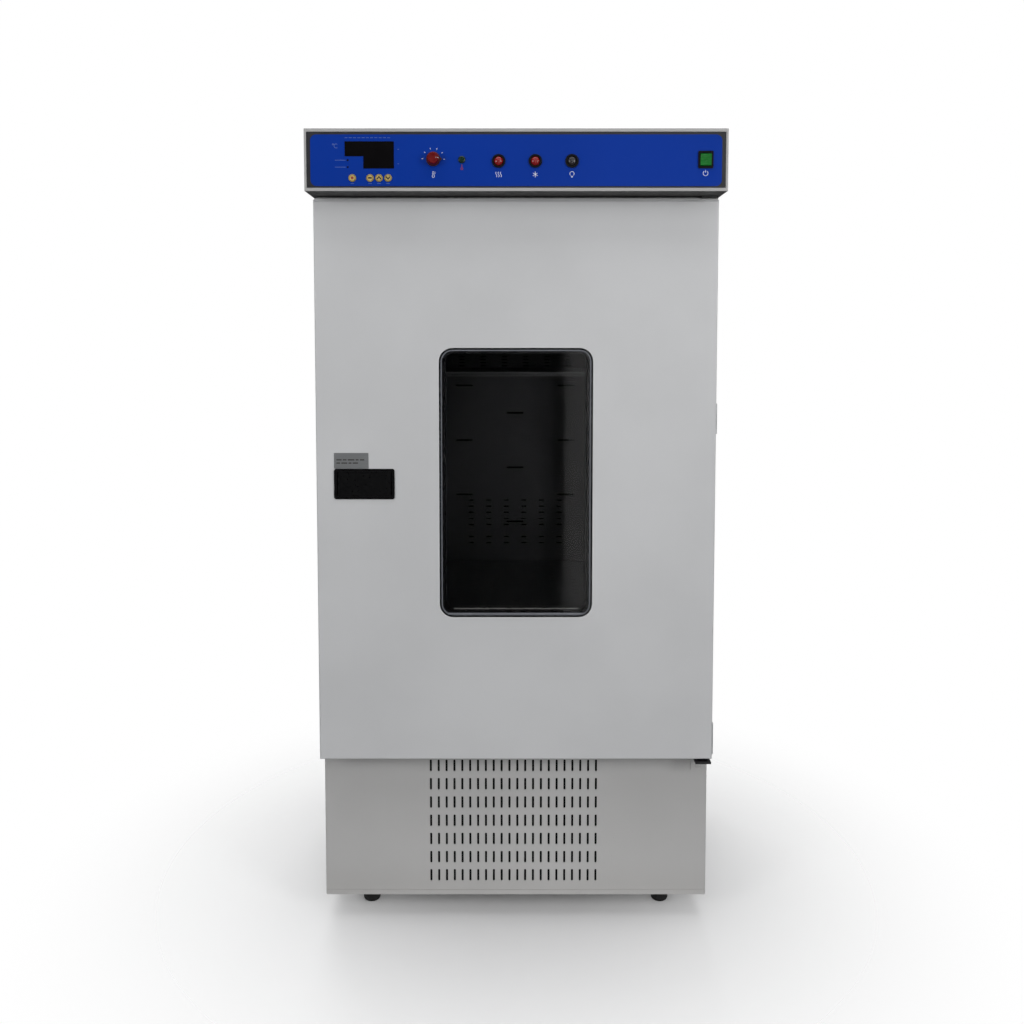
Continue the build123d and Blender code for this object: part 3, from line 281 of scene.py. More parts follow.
def brushed(name, colour, roughness, stretch):
    """Satin sheet with straight brushing along its long stretch, and faint handling marks."""
    f = Finish(name, colour, roughness, metallic=1.0)
    streak, broad = f.grain(0.0006, 2, stretch), f.grain(0.0072, 2, stretch)
    f.base(f.colour(f.ramp(broad, 0, 0.4), f.tone(streak, 0.93, 1.04), shade(colour, 0.94)))
    smear = f.ramp(f.grain(0.07, 3), 0.0, 0.09, 0.45, 0.75)
    satin = f.ramp(streak, roughness - 0.03, roughness + 0.03)
    f.feed(f.shader, {"Roughness": f.math("ADD", satin, smear)})
    return f.bump(streak, 0.00001, 0.3)


def spangled(name, colour):
    """Zinc-coated sheet with crystal spangle."""
    f = Finish(name, colour, 0.38, metallic=1.0)
    grey = f.node("ShaderNodeRGBToBW", {"Color": f.cells(0.011, "Color")})
    f.base(f.tone(grey, 0.78, 1.15, 0.2, 0.8))
    f.rough(grey, 0.1, 0.12, 0.1, 0.9)
    return f.bump(f.grain(0.002), 0.00004, 0.5)


def cellular(name, colour):
    """Cut face of rigid foam."""
    f = Finish(name, colour, 0.9, specular_ior_level=0.2)
    f.base(f.tone(f.grain(0.03, 4), 0.86, 1.05))
    return f.bump(f.cells(0.0014), 0.0006, 0.9)


def glossy_film(name, colour, roughness=0.34, gloss=0.12):
    """Printed polyester film with a fine even texture over a deep colour."""
    f = Finish(name, colour, roughness, specular_ior_level=gloss)
    f.base(f.tone(f.grain(0.25, 1), 0.96, 1.04))
    f.rough(f.grain(0.02), 0.02, 0.03)
    return f.bump(f.cells(0.0005), 0.00001, 0.3)


def lit_plastic(name, colour, roughness=0.16, depth=0.35):
    """Clear tinted plastic cap: a glossy coat over a softly scattering body."""
    f = Finish(name, colour, roughness, coat_weight=0.25, coat_roughness=0.24,
               subsurface_weight=depth, subsurface_scale=0.002)
    f.base(f.tone(f.cells(0.0016), 1.08, 0.86, 0.0, 0.7))
    f.rough(f.grain(0.003, 3), 0.05, 0.1)
    return f.bump(f.grain(0.0012), 0.00001, 0.2)


def clear_pane(name, tint):
    """Flat toughened glass: what is behind shows through, with a mirror film that grows with the angle."""
    f = Finish(name)
    f.tree.nodes.remove(f.shader)
    smear = f.ramp(f.grain(0.05, 4), 0.05, 0.11, 0.45, 0.8)
    f.surface(
        "Material Output",
        f.node("ShaderNodeFresnel", {"IOR": 1.14}),
        f.node("ShaderNodeBsdfTransparent", {"Color": (*tint, 1)}),
        f.node("ShaderNodeBsdfGlossy", {"Color": (1, 1, 1, 1), "Roughness": smear}))
    return f


def two_metals(name, inside, outside, axis, centre, start, end):
    """Two metals on one part, changed over at a distance from its middle."""
    f = Finish(name, inside, 0.35, metallic=1.0)
    worn = f.ramp(f.grain(0.004, 3), 0, 1)
    pair = [f.colour(worn, shade(metal, 0.8), shade(metal, 1.1)) for metal in (inside, outside)]
    f.base(f.colour(f.along(axis, start, end, centre), *pair))
    f.rough(worn, 0.08, 0.1, 0, 1)
    return f.bump(f.grain(0.0015), 0.00003, 0.5)


def shade_painted_behind_duct(name, colour, roughness, stretch):
    """Brushed liner with painted shade: its colour goes near black behind the air duct, where no light reaches."""
    f = brushed(name, colour, roughness, stretch)
    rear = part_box("air_duct_panel")[1].y
    front_tone = f.shader.inputs["Base Color"].links[0].from_socket
    # painted shade: the liner's colour goes near black behind the duct panel
    f.base(f.colour(f.along("Y", rear, rear + 0.001), front_tone, (0.008, 0.008, 0.009)))
    return f


def bracket_paint(name, leg, plate):
    """Hinge brackets: dark plates under the door, on legs painted with the cabinet."""
    f = Finish(name, plate, 0.42)
    leg_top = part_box("door_outer_panel")[0].z - trim().bracket_drop
    worn = f.ramp(f.grain(0.004, 3), 0, 1)
    painted, dark = (f.colour(worn, shade(colour, low), shade(colour, high))
                     for colour, low, high in ((leg, 0.96, 1.02), (plate, 0.8, 1.2)))
    f.base(f.colour(f.along("Z", leg_top - 0.0004, leg_top), painted, dark))
    f.feed(f.shader, {"Roughness": f.ramp(worn, 0.36, 0.48)})
    return f.bump(f.grain(paint().peel, 1), paint().peel * PEEL_DEPTH, 0.6)


FINISHES = {}
LOW_TONE = (0.33, 0.31, 0.28)
PEEL_DEPTH = 0.035
STEEL = (0.50, 0.50, 0.495)
UPRIGHT, ACROSS, DEEP = (1, 1, 90), (90, 1, 1), (1, 30, 1)  # how far brushing is drawn out along each axis


def make_finishes():
    """Every finish of the part, by name."""
    p = paint()
    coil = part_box("condenser")
    tubes = (coil[1].x - coil[0].x) / 2 - 0.0135
    for maker, rows in (
        (powder_coat, {
            "cabinet_paint": (p.cabinet, 0.42, p.peel),
            "header_paint": (shade(p.cabinet, 0.86), 0.42, p.peel),
            "door_paint": (p.door, 0.40, p.peel),
            "panel_black": (p.panel, 0.36, p.peel * 0.6),
            # painted shade: a near-black sheet under the header case, standing in for the shadow that falls there
            "underside_dark": ((0.035, 0.034, 0.034), 0.6, p.peel),
            "spacer_dark": ((0.012, 0.012, 0.014), 0.3, p.peel),
            "black_steel": ((0.02, 0.02, 0.021), 0.38, p.peel),
            # painted shade: the evaporator coil made near black, standing in for the shade behind the duct slots
            "coated_coil": ((0.014, 0.015, 0.018), 0.5, p.peel),
        }),
        (moulded, {
            # painted highlight: near-white plastic strips standing in for the light caught by metal edges
            "bright_edge": ((0.82, 0.81, 0.78), 0.32),
            "black_plastic": ((0.0030, 0.0030, 0.0034), 0.34, 0.0006, 0.16),
            "breaker_plastic": ((0.62, 0.63, 0.63), 0.5, 0.0012),
            "key_cream": (p.key, 0.4),
            "knob_red": ((0.16, 0.005, 0.006), 0.42, 0.0006, 0.15),
            "knob_shade": ((0.055, 0.004, 0.008),),
            "lamp_opal": ((0.80, 0.80, 0.77), 0.3, 0.002),
            "print_white": ((0.80, 0.83, 0.90), 0.5),
            "print_faint": ((0.10, 0.17, 0.45), 0.5),
            "print_dark": ((0.02, 0.014, 0.008), 0.5),
            "print_red": ((0.30, 0.012, 0.014),),
        }),
        (brushed, {
            "stainless": (STEEL, 0.30, UPRIGHT),
            "duct_steel": ((0.36, 0.36, 0.357), 0.36, UPRIGHT),
            "stainless_flat": (STEEL, 0.30, ACROSS),
            "aluminium": ((0.72, 0.73, 0.74), 0.36, DEEP),
            "screw_steel": ((0.62, 0.61, 0.59), 0.28, (1, 1, 4)),
            "plate_grey": ((0.36, 0.37, 0.38), 0.42, (60, 1, 1)),
        }),
        # the chamber liner, with painted shade behind the duct
        (shade_painted_behind_duct, {"liner_steel": (STEEL, 0.30, UPRIGHT)}),
        (bracket_paint, {"bracket_paint": (p.cabinet, (0.02, 0.02, 0.021))}),
        (two_metals, {
            "copper": ((0.74, 0.36, 0.22), (0.60, 0.26, 0.15), "Z", 0.2, 0.05, 0.12),
            "finned_coil": ((0.68, 0.69, 0.70), (0.66, 0.31, 0.19), "X", middle("condenser").x,
                            tubes, tubes + 0.001),
        }),
        (spangled, {"galvanised": ((0.50, 0.51, 0.52),)}),
        (cellular, {"foam": ((0.78, 0.66, 0.40),), "filter_black": ((0.006, 0.006, 0.006),)}),
        (rubber, {
            "rubber_black": ((0.012, 0.012, 0.012),),
            "gasket_grey": (p.gasket, 0.45),
            "seal_grey": ((0.30, 0.31, 0.32),),
        }),
        (clear_pane, {"clear_glass": (p.glass,)}),
        (glossy_film, {"overlay_blue": (p.overlay,), "display_black": ((0.003, 0.0025, 0.003), 0.2, 0.1)}),
        (lit_plastic, {
            "button_red": (p.button,),
            "button_black": ((0.020, 0.017, 0.021), 0.34, 0.0),
            "lamp_green": ((0.001, 0.022, 0.009),),
            "rocker_green": (p.rocker,),
        }),
    ):
        for name, values in rows.items():
            FINISHES[name] = maker(name, *values).material


NODE_FINISHES = {
    "upper_shelf": "stainless_flat",
    "lower_shelf": "stainless_flat",
    "air_duct_panel": "duct_steel",
    # the header's underside takes the painted shade finish
    "header_floor": "underside_dark",
    "window_spacer": "spacer_dark",
    "condenser": "finned_coil",
    # the coil behind the duct takes the painted shade finish
    "evaporator": "coated_coil",
    "chamber_liner": "liner_steel",
    "hinge_brackets": "bracket_paint",
}


# ---- shapes
def smooth(mesh, angle):
    """Smooth shading, except across edges sharper than an angle in degrees."""
    mesh.polygons.foreach_set("use_smooth", [True] * len(mesh.polygons))
    mesh.set_sharp_from_angle(angle=math.radians(angle))
    return mesh


class Shape:
    """Closed solids for one piece, in metres, with x across, y back and z up."""

    def __init__(self):
        self.bm = bmesh.new()

    def lofted(self, sections):
        """Closed sections with the same number of points, joined one to the next and capped."""
        rings = [[self.bm.verts.new(point) for point in section] for section in sections]
        for first, second in zip(rings, rings[1:]):
            for k in range(len(first)):
                after = (k + 1) % len(first)
                self.bm.faces.new((first[k], first[after], second[after], second[k]))
        self.bm.faces.new(rings[0])
        self.bm.faces.new(list(reversed(rings[-1])))
        return self

    def prism(self, outline, front, back):
        """A flat outline of x and z pairs, made solid between two depths."""
        return self.lofted([[(x, y, z) for x, z in outline] for y in (front, back)])

    def bar(self, low, high):
        outline = [(low[0], low[2]), (high[0], low[2]), (high[0], high[2]), (low[0], high[2])]
        return self.prism(outline, low[1], high[1])

    def turned(self, profile, x, z, segments=48, flutes=0, flute_depth=0.0):
        """A profile of radius and depth pairs turned about a front-to-back axis, from axis to axis."""
        rings = []
        for radius, y in profile:
            if radius == 0:
                rings.append([self.bm.verts.new((x, y, z))])
                continue
            ring = []
            for k in range(segments):
                angle = 2 * math.pi * k / segments
                dip = flute_depth * max(0.0, math.cos(angle * flutes)) ** 2 if flutes else 0.0
                r = radius - min(dip, radius * 0.3)
                ring.append(self.bm.verts.new((x + r * math.cos(angle), y, z + r * math.sin(angle))))
            rings.append(ring)
        for first, second in zip(rings, rings[1:]):
            for k in range(segments):
                after = (k + 1) % segments
                corners = [first[k % len(first)], first[after % len(first)],
                           second[after % len(second)], second[k % len(second)]]
                self.bm.faces.new(list(dict.fromkeys(corners)))
        return self

    def mesh(self, name, angle=30):
        bmesh.ops.recalc_face_normals(self.bm, faces=self.bm.faces)
        made = bpy.data.meshes.new(name)
        self.bm.to_mesh(made)
        self.bm.free()
        return smooth(made, angle)


def linked(name, data):
    made = bpy.data.objects.new(name, data)
    bpy.context.scene.collection.objects.link(made)
    return made


def piece(name, form, body, slot, finish=None, bevel=0.0, replaces=()):
    """Puts a finished mesh or shape into the scene on its body, with its finish; the slot serves as the finish's name
    when no finish is given.
    """
    mesh = form.mesh(name) if isinstance(form, Shape) else form
    mesh.materials.clear()
    mesh.materials.append(FINISHES[finish or slot])
    made = linked(name, mesh)
    if bevel:
        soften = made.modifiers.new("edges", "BEVEL")
        soften.width, soften.segments, soften.limit_method = bevel, 2, "ANGLE"
        soften.angle_limit = math.radians(40)
        soften.harden_normals = True
    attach(made, body)
    if replaces:
        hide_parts(*replaces)
    return made


def rounded_outline(x, z, width, height, radius):
    points, steps = [], 6
    for cx, cz, start in ((1, 1, 0), (-1, 1, 90), (-1, -1, 180), (1, -1, 270)):
        points += arc(x + cx * (width / 2 - radius), z + cz * (height / 2 - radius), radius, start, start + 90, steps)
    return points


def softened_copy(node, name, slot, bevel, finish=None):
    """A copy of a sheet part with its sharp edges rounded, in place of the plain one."""
    work = bmesh.new()
    work.from_mesh(frame["nodes"][node].data)
    bmesh.ops.remove_doubles(work, verts=work.verts, dist=0.00001)
    bmesh.ops.dissolve_limit(
        work, angle_limit=math.radians(1), verts=work.verts, edges=work.edges, use_dissolve_boundaries=False
    )
    made = bpy.data.meshes.new(name)
    work.to_mesh(made)
    work.free()
    return piece(name, smooth(made, 30), frame["nodes"][node]["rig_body"], slot, finish, bevel, (node,))


# ---- geometry nodes
class Recipe(Tree):
    """A Geometry Nodes tree with named inputs, run once on a carrier mesh."""

    def __init__(self, name, **inputs):
        super().__init__(bpy.data.node_groups.new(name, "GeometryNodeTree"))
        sockets = self.tree.interface
        for label, kind in {"Geometry": "Geometry", **inputs, "Material": "Material"}.items():
            sockets.new_socket(label, in_out="INPUT", socket_type="NodeSocket" + kind)
        sockets.new_socket("Geometry", in_out="OUTPUT", socket_type="NodeSocketGeometry")
        self.inputs = self.node("NodeGroupInput").outputs
        self.end = self.node("NodeGroupOutput")

    def __getitem__(self, label):
        return self.inputs[label]

    def close(self, geometry):
        """Ends the tree with real geometry and the material."""
        real = self.node("GeometryNodeRealizeInstances", {"Geometry": geometry})
        made = self.node("GeometryNodeSetMaterial", {"Geometry": real, "Material": self["Material"]})
        self.feed(self.end, {"Geometry": made})
        return self

    def stand(self, geometry):
        """Ends the tree with the drawing turned to the front and moved to its centre."""
        return self.close(self.node("GeometryNodeTransform", {
            "Geometry": geometry, "Rotation": (math.radians(90), 0, 0), "Translation": self["Centre"]}))

    def run(self, name, carrier, finish, **values):
        """The tree's result on a carrier mesh, as a plain mesh."""
        holder = linked(name, carrier)
        modifier = holder.modifiers.new("recipe", "NODES")
        modifier.node_group = self.tree
        names = {s.name: s.identifier for s in self.tree.interface.items_tree if s.in_out == "INPUT"}
        for label, value in {**values, "Material": FINISHES[finish]}.items():
            modifier[names[label]] = value
        bpy.context.view_layer.update()
        evaluated = holder.evaluated_get(bpy.context.evaluated_depsgraph_get())
        made = bpy.data.meshes.new_from_object(evaluated)
        made.name = name
        bpy.data.objects.remove(holder)
        return made


def points_mesh(points=(), edges=()):
    made = bpy.data.meshes.new("carrier")
    made.from_pydata([tuple(p) for p in points], list(edges), [])
    return made


def stroke_recipe():
    """Printed lines: a flat rounded bead along each path, drawn at depth 0 and moved to the face."""
    r = Recipe("printed_strokes", Width="Float", Flatness="Vector", Face="Vector")
    half = r.node("ShaderNodeMath", {0: r["Width"], 1: 0.5}, operation="MULTIPLY")
    bead = r.node("GeometryNodeCurvePrimitiveCircle", {"Resolution": 8, "Radius": half})
    path = r.node("GeometryNodeMeshToCurve", {"Mesh": r["Geometry"]})
    sweep = r.node("GeometryNodeCurveToMesh", {"Curve": path, "Profile Curve": bead, "Fill Caps": True})
    return r.close(r.node("GeometryNodeTransform", {
        "Geometry": sweep, "Scale": r["Flatness"], "Translation": r["Face"]}))


def repeat_recipe():
    """One small shape set at every point of the carrier, all turned the same way."""
    r = Recipe("repeat_on_points", Shape="Object", Turn="Rotation")
    shape = r.node("GeometryNodeObjectInfo", {"Object": r["Shape"]}).outputs["Geometry"]
    return r.close(r.node("GeometryNodeInstanceOnPoints", {
        "Points": r["Geometry"], "Instance": shape, "Rotation": r["Turn"]}))


def dial_recipe():
    """Marks round a dial: short bars on an arc, each pointing at its middle."""
    r = Recipe("dial_marks", Count="Int", Radius="Float", Start="Float", Sweep="Float", Mark="Vector",
               Centre="Vector")
    ring = r.node("GeometryNodeCurveArc", {
        "Resolution": r["Count"], "Radius": r["Radius"],
        "Start Angle": r["Start"], "Sweep Angle": r["Sweep"]})
    points = r.node("GeometryNodeCurveToPoints", {"Curve": ring}, mode="EVALUATED")
    bar = r.node("GeometryNodeMeshCube", {"Size": r["Mark"]})
    inward = r.node("FunctionNodeAlignRotationToVector", {"Vector": r.node("GeometryNodeInputPosition")}, axis="X")
    return r.stand(r.node("GeometryNodeInstanceOnPoints", {"Points": points, "Instance": bar, "Rotation": inward}))


def moulding_recipe():
    """A rubber section swept round a rounded rectangle that faces the front."""
    r = Recipe("moulding", Width="Float", Height="Float", Corner="Float", Section="Object", Centre="Vector")
    path = r.node("GeometryNodeCurvePrimitiveQuadrilateral", {"Width": r["Width"], "Height": r["Height"]})
    rounded = r.node("GeometryNodeFilletCurve", {"Curve": path, "Radius": r["Corner"], "Count": 10}, mode="POLY")
    shape = r.node("GeometryNodeObjectInfo", {"Object": r["Section"]}).outputs["Geometry"]
    section = r.node("GeometryNodeMeshToCurve", {"Mesh": shape})
    return r.stand(r.node("GeometryNodeCurveToMesh", {"Curve": rounded, "Profile Curve": section}))


def swept_rubber(name, node, section, wide, tall, corner, face, finish, angle):
    """A closed section of unit points swept round a packed rubber frame, in place of it."""
    low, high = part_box(node)
    loop = [(k, (k + 1) % len(section)) for k in range(len(section))]
    profile = linked("section", points_mesh([(-u * wide, v * tall, 0) for u, v in section], loop))
    centre = middle(node)
    made = moulding_recipe().run(name, points_mesh(), finish, Width=high.x - low.x, Height=high.z - low.z,
                                 Corner=corner, Section=profile, Centre=(centre.x, face, centre.z))
    bpy.data.objects.remove(profile)
    piece(name, smooth(made, angle), "door", finish, replaces=(node,))


def strokes(name, paths, body, slot, finish, face, width=None):
    """A printed or inlaid drawing: each path is a list of x and z pairs, closed where it ends as it began."""
    points, edges = [], []
    for path in paths:
        closed = path[0] == path[-1]
        own = path[:-1] if closed else path
        first = len(points)
        points += [(x, 0, z) for x, z in own]
        edges += [(first + k, first + k + 1) for k in range(len(own) - 1)]
        if closed:
            edges.append((first + len(own) - 1, first))
    width = width or trim().stroke
    flat = trim().print_height / (width / 2)
    made = stroke_recipe().run(name, points_mesh(points, edges), finish, Width=width, Flatness=(1, flat, 1),
                               Face=(0, face, 0))
    return piece(name, smooth(made, 35), body, slot, finish)


def arc(x, z, radius, start, end, steps=14):
    angles = [math.radians(start + (end - start) * k / steps) for k in range(steps + 1)]
    return [(x + radius * math.cos(a), z + radius * math.sin(a)) for a in angles]


def circle(x, z, radius, steps=16):
    points = arc(x, z, radius, 0, 360, steps)
    return points[:-1] + points[:1]


# ---- operators
class INCUBATOR_OT_finishes(bpy.types.Operator):
    """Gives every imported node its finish."""
    bl_idname = "incubator.finishes"
    bl_label = "Finishes"

    def execute(self, context):
        make_finishes()
        for row in frame["record"]["subparts"]:
            name = row["node"]
            mesh = frame["nodes"][name].data
            mesh.materials.clear()
            mesh.materials.append(FINISHES[NODE_FINISHES.get(name, row["material_slot"])])
        return {"FINISHED"}


class INCUBATOR_OT_sheets(bpy.types.Operator):
    """Rounds the folded edges of the outer sheets."""
    bl_idname = "incubator.sheets"
    bl_label = "Outer sheets"

    def execute(self, context):
        edge = trim().edge
        for node, name, slot, part, *finish in (
            ("header_cover", "header_case", "cabinet_paint", 1.0, "header_paint"),
            ("left_side_panel", "left_side_sheet", "cabinet_paint", 0.5),
            ("right_side_panel", "right_side_sheet", "cabinet_paint", 0.5),
            ("latch_housing", "handle_rim", "black_plastic", 0.6),
            ("handle_paddle", "handle_flap", "black_plastic", 0.6),
            ("power_switch_housing", "switch_frame", "black_plastic", 0.4),
        ):
            softened_copy(node, name, slot, edge * part, *finish)
        return {"FINISHED"}


class INCUBATOR_OT_window(bpy.types.Operator):
    """Makes the rubber gasket round the window, and its bottom bead."""
    bl_idname = "incubator.window"
    bl_label = "Window gasket"

    def execute(self, context):
        t = trim()
        lips = [(0, 0), (0.01, 0.45), (0.06, 0.80), (0.15, 0.97), (0.30, 1.0), (0.46, 0.93), (0.54, 0.93),
                (0.70, 1.0), (0.86, 0.97), (0.95, 0.80), (0.99, 0.45), (1, 0)]
        swept_rubber("window_moulding", "window_gasket", lips, t.gasket_width, t.gasket_height, 0.024, DOOR_Y,
                     "gasket_grey", 40)
        low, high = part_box("window_gasket")
        inset, bottom, top, proud = 0.0138, low.z + 0.0046, low.z + 0.0080, 0.0012
        bead = Shape().bar((low.x + inset, DOOR_Y - proud, bottom), (high.x - inset, DOOR_Y, top))
        piece("window_bottom_bead", bead, "door", "gasket_grey", bevel=0.0005)
        return {"FINISHED"}


class INCUBATOR_OT_seal(bpy.types.Operator):
    """Makes the bellows seal on the back of the door."""
    bl_idname = "incubator.seal"
    bl_label = "Door seal"

    def execute(self, context):
        low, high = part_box("door_seal")
        folds = [(0.10, 0), (0.04, 0.18), (0.16, 0.34), (0.02, 0.52), (0.14, 0.70), (0.04, 0.86), (0.12, 1.0),
                 (0.88, 1.0), (0.96, 0.86), (0.86, 0.70), (0.98, 0.52), (0.84, 0.34), (0.96, 0.18), (0.90, 0)]
        swept_rubber("door_bellows", "door_seal", folds, 0.012, low.y - high.y, 0.006, low.y, "seal_grey", 50)
        return {"FINISHED"}


class INCUBATOR_OT_controls(bpy.types.Operator):
    """Makes the thermostat knob, the domed buttons and the marks on the keys."""
    bl_idname = "incubator.controls"
    bl_label = "Knob, buttons and keys"

    def execute(self, context):
        self.knob()
        for name in ("heating_button", "cooling_button", "lighting_button"):
            self.button(name, "button_black" if name == "lighting_button" else "button_red")
        softened_copy("panel_device_bodies", "button_bezels", "black_plastic", 0.0005)
        self.key_marks()
        return {"FINISHED"}

    def knob(self):
        low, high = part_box("thermostat_knob")
        x, z, front, back = KNOB_X, KNOB_Z, low.y, FACE_Y - 0.0008
        seat = back - 0.004
        cap = Shape().turned(
            [(0, front + 0.0009), (0.0052, front + 0.0007), (0.0066, front), (0.0086, front + 0.0002),
             (0.0097, front + 0.0012), (0.0100, front + 0.0028), (0.0104, seat), (0, seat)],
            x, z, 144, 18, 0.0009)
        piece("knob_cap", cap, "thermostat_knob", "knob_red", replaces=("thermostat_knob",))
        skirt = Shape().turned([(0, seat), (0.0108, seat), (0.0119, seat + 0.0008), (0.0120, back),
                                (0.003, back), (0.003, high.y), (0, high.y)], x, z, 96)
        nose = [(0.0080, -0.0062), (0.0142, -0.0010), (0.0148, 0), (0.0142, 0.0010), (0.0080, 0.0062)]
        skirt.prism([(x + u, z + v) for u, v in nose], seat - 0.0006, back - 0.0002)
        piece("knob_skirt", skirt, "thermostat_knob", "knob_red", "knob_shade", 0.0003)
        line = [[(x + 0.0052, z), (x + 0.0096, z)]]
        strokes("knob_line", line, "thermostat_knob", "key_cream", "print_white", front + 0.0003, 0.0011)

    def button(self, name, finish):
        low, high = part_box(name)
        centre, front, radius = middle(name), low.y, (high.x - low.x) / 2
        dome = [(0, 0), (0.30, 0.00025), (0.55, 0.00085), (0.76, 0.0018), (0.90, 0.0030), (0.98, 0.0045), (1, 0.006)]
        profile = [(r * radius, front + y) for r, y in dome] + [(radius, high.y), (0, high.y)]
        cap = Shape().turned(profile, centre.x, centre.z, 64)
        piece(name + "_cap", cap, name, finish, replaces=(name,))

    def key_marks(self):
        half, rise = 0.0032, 0.0020
        drawings = (
            [circle(0, 0, 0.0011, 10)],
            [[(-half, 0), (half, 0)]],
            [[(-half, -rise), (0, rise), (half, -rise)]],
            [[(-half, rise), (0, -rise), (half, rise)]],
        )
        for name, paths in zip(KEYS, drawings):
            low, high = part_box(name)
            centre = middle(name)
            placed = [[(centre.x + u, centre.z + v) for u, v in path] for path in paths]
            finish = "print_red" if name == "key_set" else "print_dark"
            strokes(name + "_mark", placed, name, "key_cream", finish, low.y, 0.0026)
            rim = [circle(centre.x, centre.z, (high.x - low.x) / 2 - 0.0011, 32)]
            strokes(name + "_rim", rim, name, "key_cream", "print_dark", low.y, 0.0007)


class INCUBATOR_OT_print(bpy.types.Operator):
    """Prints the signs beside the controls and the marks round the dial."""
    bl_idname = "incubator.print"
    bl_label = "Panel print"

    def execute(self, context):
        self.dial()
        self.signs()
        self.display_marks()
        return {"FINISHED"}

    def dial(self):
        t = trim()
        marks = dial_recipe().run(
            "dial_marks", points_mesh(), "print_white", Count=t.dial_marks, Radius=t.dial_radius, Start=0.0,
            Sweep=math.radians(177), Mark=(0.0024, 0.0009, 2 * t.print_height), Centre=(KNOB_X, FACE_Y, KNOB_Z))
        piece("dial_marks", marks, "cabinet", "key_cream", "print_white")

    def signs(self):
        """Heat waves, a snow star, a bulb, a thermometer and a power sign, each under its control."""
        drop, size = 0.0222, 0.0048
        heat = [[(dx + 0.22 * math.sin(k * math.pi / 3), -0.9 + 0.3 * k) for k in range(7)] for dx in (-0.8, 0, 0.8)]
        star = [[(math.cos(a), math.sin(a)), (-math.cos(a), -math.sin(a))]
                for a in (math.pi / 6, math.pi / 2, 5 * math.pi / 6)]
        bulb = [arc(0, 0.25, 0.75, -50, 230, 16), [(-0.35, -0.65), (0.35, -0.65)], [(-0.25, -0.95), (0.25, -0.95)]]
        power = [arc(0, -0.05, 0.85, 125, 415, 18), [(0, 0.15), (0, 1.0)]]
        gauge = [arc(0, -0.7, 0.42, 120, 420, 14), [(-0.21, -0.33), (-0.21, 0.9), (0.21, 0.9), (0.21, -0.33)],
                 [(0.45, 0.7), (0.8, 0.7)], [(0.45, 0.2), (0.8, 0.2)]]
        places = [("heating_button", heat), ("cooling_button", star), ("lighting_button", bulb),
                  ("power_switch_housing", power)]
        paths = []
        for node, drawing in places:
            centre = middle(node)
            paths += [[(centre.x + size * u, centre.z - drop + size * v) for u, v in path] for path in drawing]
        below = KNOB_Z - drop - 0.0025
        paths += [[(KNOB_X + size * u, below + size * v) for u, v in path] for path in gauge]
        strokes("panel_signs", paths, "cabinet", "overlay_blue", "print_white", FACE_Y)
        lamp = middle("alarm_lamp")
        lead, flag = [(lamp.x, lamp.z - 0.0078), (lamp.x, lamp.z - 0.0125)], circle(lamp.x, lamp.z - 0.0148, 0.0016, 14)
        for name, path, width in (("lamp_lead", lead, 0.0011), ("lamp_flag", flag, 0.0012)):
            strokes(name, [path], "cabinet", "knob_red", "print_red", FACE_Y, width)

    def display_marks(self):
        """Degree sign, two small status lights with their lead lines, and ticks over and under the display."""
        low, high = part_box("display_window")
        x, z = low.x - 0.0155, high.z - 0.0065
        rows, tick, gap = (high.z - 0.0310, high.z - 0.0425), 0.0050, 0.0786 / 11
        degree = [circle(x - 0.0038, z + 0.0016, 0.0011, 12), arc(x + 0.0012, z - 0.001, 0.0034, 50, 310, 16)]
        lines = [[(low.x - 0.0165, h), (low.x + 0.0015, h)] for h in rows]
        over = [[(low.x + gap * k, high.z + 0.0060), (low.x + gap * k + tick, high.z + 0.0060)] for k in range(11)]
        under = [[(c.x - 0.0030, c.z - 0.0092), (c.x + 0.0030, c.z - 0.0092)] for c in map(middle, KEYS)]
        beside = [[(high.x + 0.0060, high.z - h), (high.x + 0.0085, high.z - h)] for h in (0.0130, 0.0370)]
        strokes("display_print", degree + lines + over + under + beside, "cabinet", "overlay_blue", "print_faint",
                FACE_Y, 0.0008)
        bulge = [(0, 0.0007), (0.0010, 0.0006), (0.0016, 0.0002), (0.0017, 0), (0, 0)]
        for k, height in enumerate(rows):
            dot = Shape().turned([(r, FACE_Y - out) for r, out in bulge], low.x + 0.0050, height, 24)
            piece(f"status_light_{k + 1}", dot, "cabinet", "display_black")


class INCUBATOR_OT_plate(bpy.types.Operator):
    """Makes the grey data plate over the handle, with plain lines on it."""
    bl_idname = "incubator.plate"
    bl_label = "Data plate"

    def execute(self, context):
        t = trim()
        low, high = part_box("latch_housing")
        x, z, front = low.x + t.plate_width / 2, high.z + t.plate_height / 2, DOOR_Y - 0.0006
        plate = Shape().prism(rounded_outline(x, z, t.plate_width, t.plate_height - 0.0004, 0.0015), front, DOOR_Y)
        piece("data_plate", plate, "door", "aluminium", "plate_grey", 0.0002)
        paths, letter, space, margin = [], 0.0013, 0.0022, 0.0045
        for row, words in ((0.0016, (7, 5, 9, 4, 6)), (-0.0040, (5, 8, 4, 7))):
            at = low.x + margin
            for word in words:
                paths.append([(at, z + row), (at + word * letter, z + row)])
                at += word * letter + space
        strokes("data_plate_lines", paths, "door", "aluminium", "print_dark", front, 0.0018)
        return {"FINISHED"}


